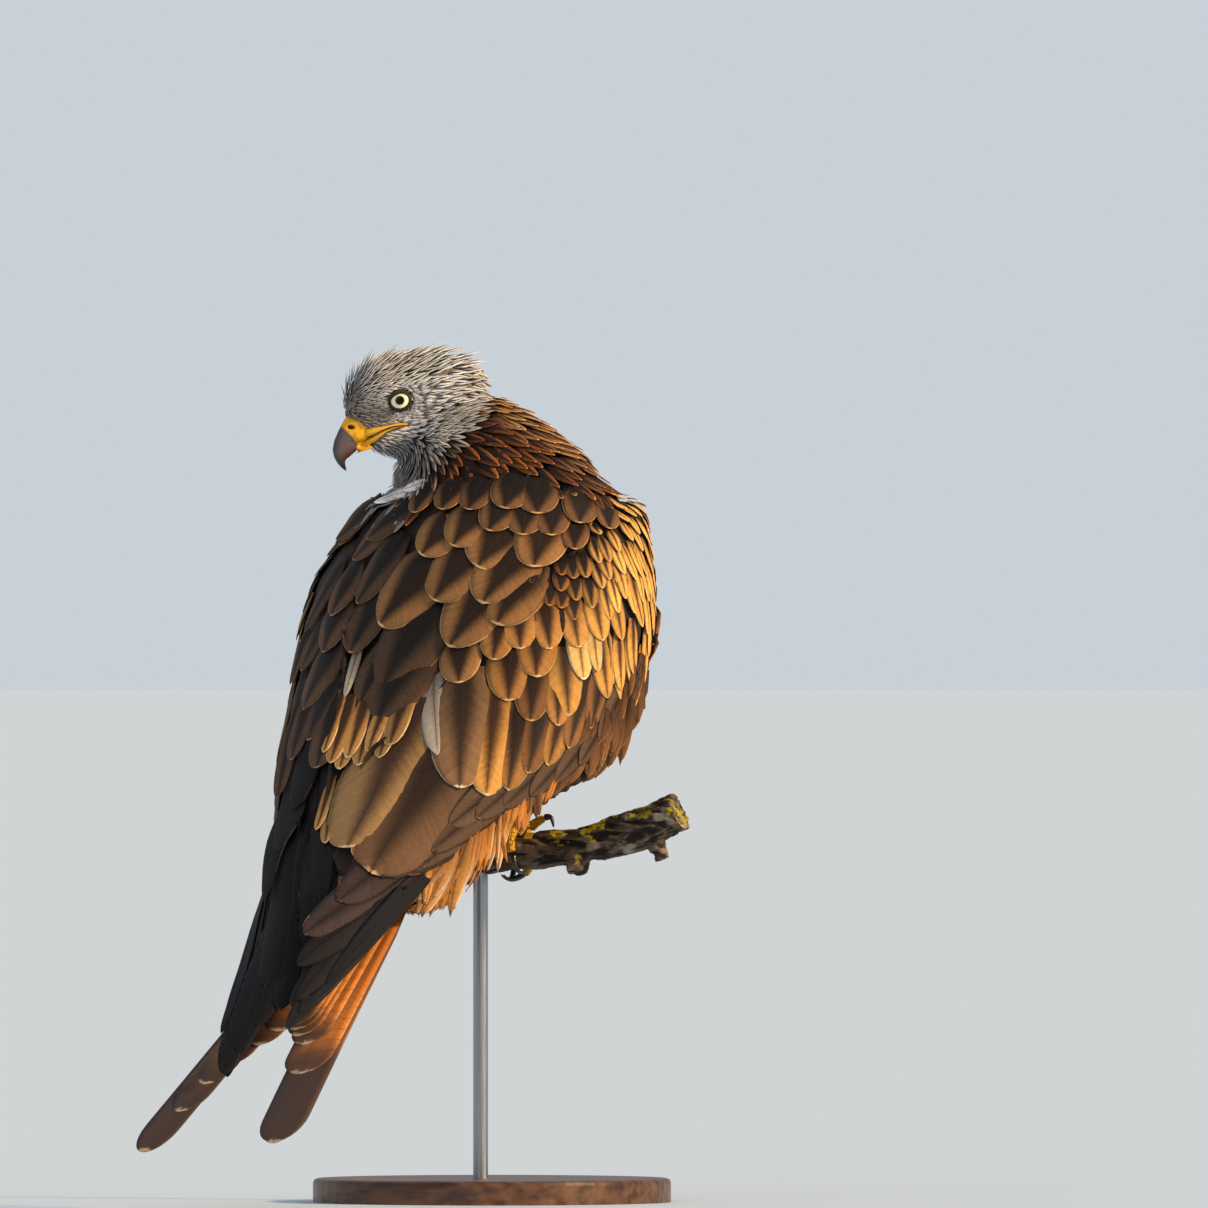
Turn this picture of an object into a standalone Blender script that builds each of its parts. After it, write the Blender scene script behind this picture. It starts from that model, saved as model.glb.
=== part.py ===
"""A red kite at rest on a cut length of branch, life size, on a plain round display stand.

The bird faces -Y and its left side is +X. The origin is the centre of the stand's underside,
below the branch. The body leans back over the branch, the head is turned far to the left, the
folded wings close over the rump, and the forked tail hangs down behind.
Tables are in millimetres and the mesh is in metres.
"""

import math

import bmesh
import bpy
from mathutils import Vector

MM = 0.001
GAP = 0.4
WING_GAP = 0.6
TAIL_SLOT_GAP = 2.5
# The least slope between a corner and a face that still gets the whole gap
STEEPEST = 0.6
LEFT, RIGHT = 1, -1
SIDE_NAMES = {LEFT: "left", RIGHT: "right"}

# Driving sizes of the stand and the branch
BASE_RADIUS = 120.0
BASE_HEIGHT = 16.0
BASE_EDGE = 3.0
ROD_RADIUS = 5.0
ROD_SINK = 9.0
BRANCH_RADIUS = 13.0
ROD_X = 9.0

# The trunk in level slices: height, half width, front, back
TRUNK_LEVELS = (
    (488, 74, -60, 60),
    (472, 91, -72, 66),
    (450, 101, -82, 76),
    (416, 106, -88, 90),
    (385, 108, -89, 101),
    (352, 107, -86, 115),
    (324, 104, -81, 127),
    (303, 98, -70, 135),
    (290, 88, -53, 140),
    (280, 76, -32, 143),
    (271, 63, -4, 145),
    (260, 54, 20, 146),
    (246, 47, 26, 147),
    (232, 41, 34, 145),
    (218, 34, 46, 139),
    (206, 25, 62, 126),
    (198, 12, 78, 108),
)

# The neck leans from the shoulders to the turned head: centre, half width, half depth, tilt
NECK_RINGS = (
    ((0, 0, 488.4), 74, 60, 0),
    ((1.5, 1, 499), 64, 57, 4),
    ((6, 5, 510), 55, 52, 8),
    ((13, 10, 521), 45, 45, 13),
    ((21, 16, 532), 33, 34, 18),
    ((28, 21, 540), 20, 20, 22),
)
NECK_LEAN = Vector((0.75, 0.66, 0.0))

# The head: its own axes are forward, left and up, from the point midway between the eyes
HEAD_ORIGIN = Vector((44.9, 39.7, 536.3))
HEAD_TURN = math.radians(134)
HEAD_DROOP = math.radians(20)
# forward, top, bottom, half width
HEAD_RINGS = (
    (40.5, 11, -4, 8),
    (37, 18, -14, 11),
    (32, 24, -23, 13.5),
    (25, 29.5, -30, 16.5),
    (15, 34, -36, 19.6),
    (3, 35.2, -39, 22),
    (-10, 32.5, -40, 25.5),
    (-23, 29, -38, 28),
    (-36, 24.5, -33, 27),
    (-47, 18.5, -25, 23.5),
    (-56, 11, -15, 17),
    (-62, 3, -5, 8),
)
EYE_RADIUS = 8.0
EYE_CENTRE = (5.3, 16.2, 2.5)
# Along the bill: top (forward, up), bottom (forward, up), half width
UPPER_BILL = (
    ((22, 4.0), (22, -14.6), 11.2),
    ((32, 4.6), (32, -16.6), 10.2),
    ((41, 3.0), (39.4, -19.0), 8.8),
    ((48, -2.6), (43.6, -20.8), 7.4),
    ((53.4, -8.2), (47.2, -22.2), 6.1),
    ((56.7, -13.6), (50.2, -23.0), 4.9),
    ((57.5, -18.6), (51.6, -24.6), 3.6),
    ((56.7, -23.6), (52.1, -27.0), 2.4),
    ((54.9, -27.8), (52.3, -29.2), 1.2),
)
BILL_TIP = (52.4, -31.2)
LOWER_BILL = (
    ((12, -15.3), (12, -21.8), 8.6),
    ((23, -15.6), (23, -23.2), 8.0),
    ((33, -17.6), (33, -23.6), 7.0),
    ((38.6, -19.9), (38.4, -23.6), 5.4),
    ((42, -21.6), (41.6, -23.4), 3.4),
)

# The folded wing in level slices of an oval round the body. Height, the oval's centre in Y, half
# width, half depth, then where the wing starts at the back on the right and on the left side, and
# where it ends at the front, in degrees round the oval from the back, and its thickness.
WING_LEVELS = (
    (472, -30, 88, 44, 74, 74, 118, 8),
    (466, -25, 99, 55, 64, 64, 124, 14),
    (457, -15, 107.5, 63, 54, 54, 126, 19),
    (443, -3, 115.5, 73, 44, 44, 124, 22),
    (417, 10, 125, 80, 34, 34, 121, 24),
    (392, 17, 128, 88, 26, 26, 118, 24),
    (364, 24, 126.5, 92, 19, 20, 116, 23),
    (338, 33, 125, 95, 12, 17, 115, 22),
    (316, 45, 120, 95, 5, 15, 114, 21),
    (300, 57, 116, 93, 0, 14, 112, 20),
    (286, 70, 111, 88, -3, 13, 111, 18),
    (272, 88, 103, 77, -5, 13, 110, 16),
    (258, 108, 94, 63, -6, 14, 107, 14),
    (245, 129, 85, 53, -6, 16, 100, 12),
    (232, 149, 75, 46, -4, 18, 93, 10),
    (220, 168, 64, 39, 4, 22, 84, 8),
)
WING_EDGE = 1.2
# The long wing tip: its lower edge, half width, half thickness, roll
WING_TIPS = {
    RIGHT: (
        ((-58, 158, 226), 23, 5.5, 54),
        ((-50, 182, 208), 23, 5.2, 50),
        ((-40, 214, 182), 20, 4.6, 42),
        ((-29, 242, 156), 15, 3.8, 32),
        ((-20, 260, 136), 9, 2.6, 24),
        ((-14, 270, 121), 3, 1.2, 20),
    ),
    LEFT: (
        ((74, 160, 216), 31, 5.5, 54),
        ((67, 190, 187), 30, 5.2, 44),
        ((53, 230, 151), 25, 4.6, 32),
        ((38, 264, 122), 18, 3.8, 22),
        ((20, 292, 100), 9, 2.6, 14),
        ((12, 305, 88.5), 3, 1.2, 10),
    ),
}

# The tail, as a plane that drops backwards from its root: along, inner edge, outer edge, half thickness
TAIL_ROOT = Vector((0, 104, 241))
TAIL_SLOPE = math.radians(38.8)
TAIL_RINGS = (
    (0, -3, 20, 6),
    (40, -3, 21, 5.5),
    (90, -3, 25, 4),
    (150, -3, 34, 2.8),
    (210, -3, 42, 2.2),
    (248, -3, 47.5, 2.0),
    (270, 5, 50, 1.8),
    (298, 12, 53, 1.6),
    (316, 18, 54.5, 1.4),
    (326, 25, 54, 1.2),
    (331, 34, 50, 0.9),
)

# The legs: the feathered thigh in level slices, then each digit along the branch
THIGH_RINGS = (
    ((44, 24, 312), 30, 32),
    ((44, 20, 300), 31, 34),
    ((43, 14, 288), 28, 30),
    ((41, 8, 277), 22, 23),
    ((39.5, 4, 268), 14, 14),
    ((39, 2.5, 264), 8, 8),
)
# How far each thigh's lower end stands in towards the body's middle
THIGH_INWARD = {LEFT: 0.0, RIGHT: 16.0}
FOOT_X = {LEFT: 39.0, RIGHT: -21.0}
SOLE_SIZE = (11.0, 8.0, 4.6)
TARSUS_RADIUS = 3.9
TARSUS_SINK = 6.0
# A digit's path over the bark: distance out from the foot, degrees round the branch towards the
# front, clearance of its centre line, all at its start, middle and end. The claw goes on from it.
GRIP = {
    "inner_toe": ((-8.6, 24, 3.9), (-11.5, 66, 3.6), (-13, 108, 3.2)),
    "middle_toe": ((0, 26, 4.2), (1, 92, 3.8), (1, 158, 3.4)),
    "outer_toe": ((8.6, 24, 3.9), (12.5, 62, 3.6), (14, 100, 3.2)),
    "hind_toe": ((2, -26, 4.1), (4, -60, 3.7), (5.5, -92, 3.4)),
}
GRIP_CLAWS = {
    "inner_toe": ((-13.4, 118, 3.6), (-14, 150, 6.5), (-14, 176, 1.6)),
    "middle_toe": ((1, 167, 3.6), (-3, 197, 7.6), (-6, 224, 8.0)),
    "outer_toe": ((14.6, 110, 3.6), (15, 140, 6.5), (15, 168, 1.6)),
    "hind_toe": ((6, -102, 3.8), (7.5, -130, 7.0), (8.5, -160, 2.2)),
}
# On the right foot the outer toe lies along the top of the branch with its claw tip down on it.
OPEN_TOE = ((8.8, 14, 4.2), (14, 8, 6.6), (20.5, 4, 8.2))
OPEN_CLAW = ((22.4, 3, 9.0), (27, 2, 8.6), (28.6, 2, 1.4))

# The branch: its centre line from the bird's left to its right, and its rough thickness
BRANCH_LINE = (
    (152, 4, 217),
    (100, 2, 221),
    (50, 1, 228),
    (0, 0, 234),
    (-40, 0, 236.5),
    (-78, -3, 241),
    (-112, -8, 250),
    (-140, -14, 262),
)
BRANCH_RINGS = 26
BRANCH_SIDES = 14
# Stubs where twigs were lost: place along X, degrees round from the top to the front, length, radius
STUBS = ((-68, 205, 8, 8.5), (-118, 170, 11, 6.0), (112, 20, 9, 6.5), (72, 150, 7, 5.5))

COLOURS = {
    "grey_feathers": ((0.62, 0.57, 0.50), 0.75),
    "rufous_feathers": ((0.42, 0.19, 0.07), 0.72),
    "brown_feathers": ((0.20, 0.13, 0.085), 0.68),
    "golden_feathers": ((0.55, 0.33, 0.13), 0.68),
    "dark_feathers": ((0.045, 0.04, 0.045), 0.55),
    "tail_feathers": ((0.55, 0.24, 0.07), 0.65),
    "bill_horn": ((0.06, 0.05, 0.05), 0.3),
    "bill_yellow": ((0.85, 0.52, 0.05), 0.4),
    "eye": ((0.85, 0.78, 0.45), 0.05),
    "leg_yellow": ((0.80, 0.55, 0.10), 0.5),
    "claw": ((0.03, 0.03, 0.03), 0.25),
    "bark": ((0.16, 0.12, 0.08), 0.9),
    "stand_wood": ((0.13, 0.085, 0.06), 0.45),
    "stand_steel": ((0.42, 0.42, 0.43), 0.3),
}
METALS = {"stand_steel"}


def clear_scene():
    for obj in list(bpy.data.objects):
        bpy.data.objects.remove(obj)


def finish_material(name):
    made = bpy.data.materials.get(name)
    if made:
        return made
    colour, roughness = COLOURS[name]
    made = bpy.data.materials.new(name)
    made.use_nodes = True
    shader = made.node_tree.nodes["Principled BSDF"]
    shader.inputs["Base Color"].default_value = (*colour, 1)
    shader.inputs["Roughness"].default_value = roughness
    shader.inputs["Metallic"].default_value = 1.0 if name in METALS else 0.0
    return made


def place(name, mesh, finish):
    obj = bpy.data.objects.new(name, mesh)
    bpy.context.scene.collection.objects.link(obj)
    mesh.materials.append(finish_material(finish))
    return obj


def loft(name, rings, finish, first_tip=None, last_tip=None, strips=False):
    """A closed solid through rings of points in millimetres.

    Each end is drawn to a tip or its middle. A bent ring is closed with strips across it. The faces are
    triangles, so that a cutter grown from the solid keeps to the same surface.
    """
    bm = bmesh.new()
    loops = [[bm.verts.new(Vector(p) * MM) for p in ring] for ring in rings]
    count = len(loops[0])
    for lower, upper in zip(loops, loops[1:]):
        for k in range(count):
            j = (k + 1) % count
            bm.faces.new((lower[k], lower[j], upper[j], upper[k]))
    for loop, ring, tip in ((loops[0], rings[0], first_tip), (loops[-1], rings[-1], last_tip)):
        if strips:
            for k in range(count // 2 - 1):
                bm.faces.new((loop[k], loop[k + 1], loop[count - 2 - k], loop[count - 1 - k]))
            continue
        middle = sum((Vector(p) for p in ring), Vector()) / count
        pole = bm.verts.new(Vector(tip if tip is not None else middle) * MM)
        for k in range(count):
            bm.faces.new((loop[k], loop[(k + 1) % count], pole))
    bmesh.ops.triangulate(bm, faces=bm.faces)
    bmesh.ops.recalc_face_normals(bm, faces=bm.faces)
    mesh = bpy.data.meshes.new(name)
    bm.to_mesh(mesh)
    bm.free()
    mesh.shade_smooth()
    mesh.set_sharp_from_angle(angle=math.radians(50))
    return place(name, mesh, finish)


def grown(obj, by=GAP):
    """A hidden cutter: the same shape, pushed out by a small gap."""
    cutter = obj.copy()
    cutter.data = obj.data.copy()
    cutter.name = obj.name + "_cutter"
    bm = bmesh.new()
    bm.from_mesh(cutter.data)
    bm.normal_update()
    shifts = []
    for vert in bm.verts:
        slope = min(vert.normal.dot(face.normal) for face in vert.link_faces)
        shifts.append(vert.normal * by * MM / max(slope, STEEPEST))
    for vert, shift in zip(bm.verts, shifts):
        vert.co += shift
    bm.to_mesh(cutter.data)
    bm.free()
    bpy.context.scene.collection.objects.link(cutter)
    cutter.hide_render = True
    cutter.display_type = "WIRE"
    return cutter


def combine(obj, other, operation):
    change = obj.modifiers.new(operation.lower(), "BOOLEAN")
    change.operation = operation
    change.solver = "EXACT"
    change.object = other


def smooth_path(points, count):
    """count tuples along a Catmull-Rom line through the given tuples."""
    padded = [points[0], *points, points[-1]]
    found = []
    for k in range(count):
        at = k / (count - 1) * (len(points) - 1)
        i = min(int(at), len(points) - 2)
        t = at - i
        weights = (
            (-t + 2 * t * t - t**3) / 2,
            (2 - 5 * t * t + 3 * t**3) / 2,
            (t + 4 * t * t - 3 * t**3) / 2,
            (-t * t + t**3) / 2,
        )
        near = padded[i : i + 4]
        found.append(tuple(sum(w * p[a] for w, p in zip(weights, near)) for a in range(len(near[0]))))
    return found


def level_ring(z, half_width, front, back, count=32):
    """A level slice that is an oval, with its own depth to the front and to the back."""
    middle = (front + back) / 2
    ring = []
    for k in range(count):
        turn = 2 * math.pi * k / count
        y = math.cos(turn)
        ring.append((half_width * math.sin(turn), middle + y * (back - front) / 2, z))
    return ring


def oval_ring(centre, across, up, half_across, half_up, count):
    centre, across, up = Vector(centre), Vector(across), Vector(up)
    turns = [2 * math.pi * k / count for k in range(count)]
    return [centre + across * half_across * math.cos(t) + up * half_up * math.sin(t) for t in turns]


def tube(name, points, radii, finish, sides=8, tip=None):
    """A round tube along points, with its own radius at each."""
    points = [Vector(p) for p in points]
    rings = []
    first = (points[1] - points[0]).normalized()
    reference = Vector((1, 0, 0)) if abs(first.x) < 0.7 else Vector((0, 1, 0))
    for k, (point, radius) in enumerate(zip(points, radii)):
        ahead = points[min(k + 1, len(points) - 1)] - points[max(k - 1, 0)]
        across = (reference - ahead * reference.dot(ahead) / ahead.length_squared).normalized()
        rings.append(oval_ring(point, across, ahead.normalized().cross(across), radius, radius, sides))
        reference = across
    return loft(name, rings, finish, last_tip=tip)


def head_axes():
    level = Vector((math.sin(HEAD_TURN), -math.cos(HEAD_TURN), 0))
    up = Vector((0, 0, 1))
    forward = level * math.cos(HEAD_DROOP) - up * math.sin(HEAD_DROOP)
    left = up.cross(level)
    return forward, left, forward.cross(left)


def in_head(forward, left, up):
    ahead, aside, above = head_axes()
    return HEAD_ORIGIN + ahead * forward + aside * left + above * up


def make_trunk():
    rings = [level_ring(*level) for level in TRUNK_LEVELS]
    return loft("trunk", rings, "rufous_feathers", last_tip=(0, 95, 195))


def make_neck():
    rings = []
    for centre, half_width, half_depth, tilt in NECK_RINGS:
        lean = NECK_LEAN * math.sin(math.radians(tilt))
        across = (Vector((1, 0, 0)) - Vector((0, 0, lean.x))).normalized()
        depth = (Vector((0, 1, 0)) - Vector((0, 0, lean.y))).normalized()
        ring = oval_ring(centre, depth, across, half_depth, half_width, 32)
        rings.append(ring)
    return loft("neck", rings, "rufous_feathers")


def make_head():
    _, aside, above = head_axes()
    rings = []
    for forward, top, bottom, half_width in HEAD_RINGS:
        centre = in_head(forward, 0, (top + bottom) / 2)
        rings.append(oval_ring(centre, aside, above, half_width, (top - bottom) / 2, 28))
    tip = in_head(-67.5, 0, 0)
    return loft("head", rings, "grey_feathers", last_tip=tip)


def make_bill(name, stations, tip, finish):
    _, aside, _ = head_axes()
    rings = []
    for top, bottom, half_width in stations:
        high, low = in_head(top[0], 0, top[1]), in_head(bottom[0], 0, bottom[1])
        rings.append(
            oval_ring(
                (high + low) / 2, aside, (high - low).normalized(), half_width, (high - low).length / 2, 16
            )
        )
    return loft(name, rings, finish, last_tip=tip)


def make_eye(side):
    bm = bmesh.new()
    bmesh.ops.create_icosphere(bm, subdivisions=2, radius=EYE_RADIUS * MM)
    forward, out, up = EYE_CENTRE
    bmesh.ops.translate(bm, verts=bm.verts, vec=in_head(forward, side * out, up) * MM)
    name = "eye_" + SIDE_NAMES[side]
    mesh = bpy.data.meshes.new(name)
    bm.to_mesh(mesh)
    bm.free()
    mesh.shade_smooth()
    return place(name, mesh, "eye")


def rounding(share, start=0.72):
    """Falls from 1 to 0 as a quarter of a circle over the last part of a width."""
    past = max(0, (share - start) / (1 - start))
    return math.sqrt(1 - past * past)


def wing_ring(level, side, count=11):
    """A level slice of the folded wing: its outer curve, then back along its inner one."""
    z, middle, half_width, half_depth, back_right, back_left, front, thickness = level
    start = back_right if side == RIGHT else back_left
    outer, inner = [], []
    for k in range(count):
        share = k / (count - 1)
        turn = math.radians(start + (front - start) * share)
        point = Vector((side * half_width * math.sin(turn), middle + half_depth * math.cos(turn), z))
        inward = Vector((-side * math.sin(turn) / half_width, -math.cos(turn) / half_depth, 0)).normalized()
        depth = WING_EDGE + (thickness - WING_EDGE) * min(1, share / 0.45) ** 0.7 * rounding(share)
        outer.append(point)
        inner.append(point + inward * depth)
    return outer + inner[::-1]


def make_wing(side):
    rings = [wing_ring(level, side) for level in WING_LEVELS]
    return loft("wing_" + SIDE_NAMES[side], rings, "brown_feathers", strips=True)


def make_wing_tip(side):
    rings = []
    stations = WING_TIPS[side]
    edges = [Vector(s[0]) for s in stations]
    for k, (edge, half_width, half_thickness, roll) in enumerate(stations):
        along = (edges[min(k + 1, len(edges) - 1)] - edges[max(k - 1, 0)]).normalized()
        level = Vector((side, 0, 0))
        level = (level - along * level.dot(along)).normalized()
        up = along.cross(level) * -side
        turn = math.radians(roll)
        across = level * math.cos(turn) - up * math.sin(turn)
        centre = Vector(edge) - across * half_width
        rings.append(oval_ring(centre, across, along.cross(across), half_width, half_thickness, 12))
    return loft("wing_tip_" + SIDE_NAMES[side], rings, "dark_feathers")


def tail_ring(distance, inner, outer, half_thickness):
    along = Vector((0, math.cos(TAIL_SLOPE), -math.sin(TAIL_SLOPE)))
    above = Vector((0, math.sin(TAIL_SLOPE), math.cos(TAIL_SLOPE)))
    centre = TAIL_ROOT + along * distance + Vector(((inner + outer) / 2, 0, 0))
    return oval_ring(centre, Vector((1, 0, 0)), above, (outer - inner) / 2, half_thickness, 14)


def make_tail(side):
    """One half of the forked tail. The halves overlap along the middle and are joined."""
    rings = []
    for distance, inner, outer, thick in TAIL_RINGS:
        rings.append(tail_ring(distance, side * inner, side * outer, thick))
    return loft("tail_half_" + SIDE_NAMES[side], rings, "tail_feathers")


def make_tail_slot():
    """A hidden cutter for the trunk, as wide as both halves of the tail at its root."""
    rings = []
    for distance, _, outer, thick in TAIL_RINGS[:4]:
        rings.append(tail_ring(distance, -outer - GAP, outer + GAP, thick + TAIL_SLOT_GAP))
    slot = loft("tail_slot", rings, "tail_feathers", first_tip=TAIL_ROOT + Vector((0, -2, 1.5)))
    slot.hide_render = True
    slot.display_type = "WIRE"
    return slot


def thigh_centre(side, level):
    x, y, z = THIGH_RINGS[level][0]
    inward = THIGH_INWARD[side] * level / (len(THIGH_RINGS) - 1)
    return Vector((side * (x - inward), y, z))


def make_thigh(side):
    rings = []
    for level, (_, half_width, half_depth) in enumerate(THIGH_RINGS):
        centre = thigh_centre(side, level)
        ring = level_ring(centre.z, half_width, centre.y - half_depth, centre.y + half_depth, 20)
        rings.append([(px + centre.x, py, pz) for px, py, pz in ring])
    return loft("thigh_" + SIDE_NAMES[side], rings, "rufous_feathers")


def branch_radius(x, turn):
    """Rough bark: slow swellings along the branch and round it."""
    swell = 1.1 * math.sin(0.045 * x + 0.7) + 0.7 * math.sin(0.11 * x + 2.1 * math.sin(turn))
    flutes = 0.45 * math.sin(3 * turn + 0.04 * x) + 0.35 * math.sin(5 * turn - 0.07 * x)
    return BRANCH_RADIUS + swell + flutes


def branch_centre(x):
    """The branch's middle and its direction at a distance along X, read from its own curve."""
    line = [Vector(p) for p in smooth_path(BRANCH_LINE, 160)]
    for a, b in zip(line, line[1:]):
        if b.x <= x <= a.x:
            return a.lerp(b, (x - a.x) / (b.x - a.x)), (b - a).normalized()
    end, before = (line[0], line[1]) if x > 0 else (line[-1], line[-2])
    return end, (end - before if x < 0 else before - end).normalized()


def bark_point(x, degrees, clearance):
    """A point over the bark. 0 degrees is the top and 90 is the front, where the bird faces."""
    turn = math.radians(degrees)
    centre, along = branch_centre(x)
    front = (Vector((0, -1, 0)) + along * along.y).normalized()
    top = front.cross(along).normalized()
    if top.z < 0:
        top = -top
    return centre + (top * math.cos(turn) + front * math.sin(turn)) * (branch_radius(x, turn) + clearance)


def make_branch():
    ends = BRANCH_LINE[0][0], BRANCH_LINE[-1][0]
    rings = []
    for k in range(BRANCH_RINGS):
        x = ends[0] + (ends[1] - ends[0]) * k / (BRANCH_RINGS - 1)
        rings.append([bark_point(x, 360 * j / BRANCH_SIDES, 0) for j in range(BRANCH_SIDES)])
    branch = loft("perch_branch", rings, "bark")
    for number, (x, degrees, length, radius) in enumerate(STUBS):
        root, end = bark_point(x, degrees, -9), bark_point(x, degrees, length)
        middle = root.lerp(end, 0.6)
        radii = (radius * 1.25, radius, radius * 0.8)
        stub = tube(f"stub_{number}", (root, middle, end), radii, "bark", 10)
        stub.hide_render = True
        stub.display_type = "WIRE"
        combine(branch, stub, "UNION")
    return branch


def digit_points(side, stations, count):
    points = []
    for out, degrees, clearance in smooth_path(stations, count):
        points.append(bark_point(FOOT_X[side] + side * out, degrees, clearance))
    return points


def make_digit(side, name, toe, claw):
    """One toe and its claw, laid over the bark."""
    label = f"{SIDE_NAMES[side]}_{name}"
    points = digit_points(side, toe, 9)
    thick, thin = (3.7, 2.9) if name != "inner_toe" else (3.4, 2.8)
    radii = [thick + (thin - thick) * k / 8 + 0.28 * math.cos(2.4 * k) for k in range(9)]
    tube(label, points, radii, "leg_yellow", 8)
    points = digit_points(side, claw, 9)
    start = points[0] + (points[0] - Vector(points[1])) * 0.02
    points[0] = start
    radii = [2.3 * (1 - (k / 8.6) ** 1.4) + 0.18 for k in range(8)]
    tube(label.replace("toe", "claw"), points[:8], radii, "claw", 8, tip=points[8])


def make_foot(side):
    top = bark_point(FOOT_X[side], 0, 0)
    sole_centre = top + Vector((0, 0, SOLE_SIZE[2] + 0.5))
    bm = bmesh.new()
    bmesh.ops.create_icosphere(bm, subdivisions=2, radius=MM)
    bmesh.ops.scale(bm, verts=bm.verts, vec=SOLE_SIZE)
    bmesh.ops.translate(bm, verts=bm.verts, vec=sole_centre * MM)
    name = "sole_" + SIDE_NAMES[side]
    mesh = bpy.data.meshes.new(name)
    bm.to_mesh(mesh)
    bm.free()
    mesh.shade_smooth()
    sole = place(name, mesh, "leg_yellow")
    thigh_end = thigh_centre(side, len(THIGH_RINGS) - 1)
    low = sole_centre + Vector((0, 0, SOLE_SIZE[2] - 1.6))
    high = thigh_end + Vector((0, 0, TARSUS_SINK))
    points = [low, low.lerp(high, 0.5), high]
    tarsus = tube("tarsus_" + SIDE_NAMES[side], points, [TARSUS_RADIUS] * 3, "leg_yellow", 10)
    for covering in ("trunk", "thigh_" + SIDE_NAMES[side]):
        combine(bpy.data.objects[covering], grown(tarsus), "DIFFERENCE")
    combine(tarsus, grown(sole), "DIFFERENCE")
    sole_cutter = grown(sole)
    for digit, path in GRIP.items():
        claw = GRIP_CLAWS[digit]
        if side == RIGHT and digit == "outer_toe":
            path, claw = OPEN_TOE, OPEN_CLAW
        make_digit(side, digit, path, claw)
        combine(bpy.data.objects[f"{SIDE_NAMES[side]}_{digit}"], sole_cutter, "DIFFERENCE")


def round_bar(name, radius, low, high, centre, finish, sides=32, edge=0.0):
    """A turned bar or disc, with its top edge eased where an edge size is given."""
    bm = bmesh.new()
    bmesh.ops.create_cone(
        bm, cap_ends=True, segments=sides, radius1=radius * MM, radius2=radius * MM, depth=(high - low) * MM
    )
    shift = Vector((centre[0], centre[1], (low + high) / 2)) * MM
    bmesh.ops.translate(bm, verts=bm.verts, vec=shift)
    if edge:
        rims = [e for e in bm.edges if all(v.co.z > (high - 0.01) * MM for v in e.verts)]
        bmesh.ops.bevel(
            bm, geom=rims, offset=edge * MM, segments=2, profile=0.5, affect="EDGES", material=-1
        )
    mesh = bpy.data.meshes.new(name)
    bm.to_mesh(mesh)
    bm.free()
    mesh.shade_smooth()
    mesh.set_sharp_from_angle(angle=math.radians(40))
    return place(name, mesh, finish)


def make_stand(branch):
    """A round base with a blind hole, and one rod that runs up into the branch."""
    base = round_bar("stand_base", BASE_RADIUS, 0, BASE_HEIGHT, (0, 0), "stand_wood", 64, BASE_EDGE)
    centre, _ = branch_centre(ROD_X)
    rod = round_bar(
        "stand_rod", ROD_RADIUS, BASE_HEIGHT - ROD_SINK, centre.z - 2, (ROD_X, 0), "stand_steel", 24
    )
    hole = grown(rod)
    combine(base, hole, "DIFFERENCE")
    combine(branch, hole, "DIFFERENCE")


def build():
    clear_scene()
    trunk, neck, head = make_trunk(), make_neck(), make_head()
    upper = make_bill("bill_upper", UPPER_BILL, in_head(BILL_TIP[0], 0, BILL_TIP[1]), "bill_horn")
    lower = make_bill("bill_lower", LOWER_BILL, None, "bill_yellow")
    head_cutter = grown(head)
    combine(head, grown(upper), "DIFFERENCE")
    combine(lower, grown(upper), "DIFFERENCE")
    combine(lower, head_cutter, "DIFFERENCE")
    combine(neck, head_cutter, "DIFFERENCE")
    for side in (LEFT, RIGHT):
        eye = make_eye(side)
        combine(head, grown(eye), "DIFFERENCE")
    tail, other_half = make_tail(RIGHT), make_tail(LEFT)
    tail.name = "tail"
    other_half.hide_render = True
    other_half.display_type = "WIRE"
    combine(tail, other_half, "UNION")
    combine(trunk, make_tail_slot(), "DIFFERENCE")
    for side in (LEFT, RIGHT):
        wing, tip, thigh = make_wing(side), make_wing_tip(side), make_thigh(side)
        combine(wing, grown(tip, WING_GAP), "DIFFERENCE")
        wing_cutter = grown(wing, WING_GAP)
        combine(trunk, grown(tip), "DIFFERENCE")
        for body in (trunk, neck):
            combine(body, wing_cutter, "DIFFERENCE")
        combine(thigh, grown(trunk), "DIFFERENCE")
        make_foot(side)
    branch = make_branch()
    make_stand(branch)


build()
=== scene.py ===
import math

import bmesh
import bpy
import numpy as np
from mathutils import Matrix, Vector
from mathutils.bvhtree import BVHTree
from mathutils.noise import fractal


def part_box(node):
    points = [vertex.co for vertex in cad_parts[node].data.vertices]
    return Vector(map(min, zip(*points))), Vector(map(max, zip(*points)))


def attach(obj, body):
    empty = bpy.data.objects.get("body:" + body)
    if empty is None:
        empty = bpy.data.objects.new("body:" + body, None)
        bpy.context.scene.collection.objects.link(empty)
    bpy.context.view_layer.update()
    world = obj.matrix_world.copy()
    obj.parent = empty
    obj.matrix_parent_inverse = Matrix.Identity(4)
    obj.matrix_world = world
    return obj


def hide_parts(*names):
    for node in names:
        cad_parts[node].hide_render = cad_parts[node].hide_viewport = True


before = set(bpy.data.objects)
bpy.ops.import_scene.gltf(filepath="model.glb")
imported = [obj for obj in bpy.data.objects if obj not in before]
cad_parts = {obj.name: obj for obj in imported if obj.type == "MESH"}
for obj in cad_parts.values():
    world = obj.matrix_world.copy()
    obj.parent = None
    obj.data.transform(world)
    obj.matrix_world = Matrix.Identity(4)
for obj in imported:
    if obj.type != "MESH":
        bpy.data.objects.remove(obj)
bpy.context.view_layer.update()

# The body under the coat. In life it is skin over flesh, and here it is one closed surface run over
# all the solids of flesh, smoothed, and sunk by the depth of the feathers that grow from it.

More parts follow.
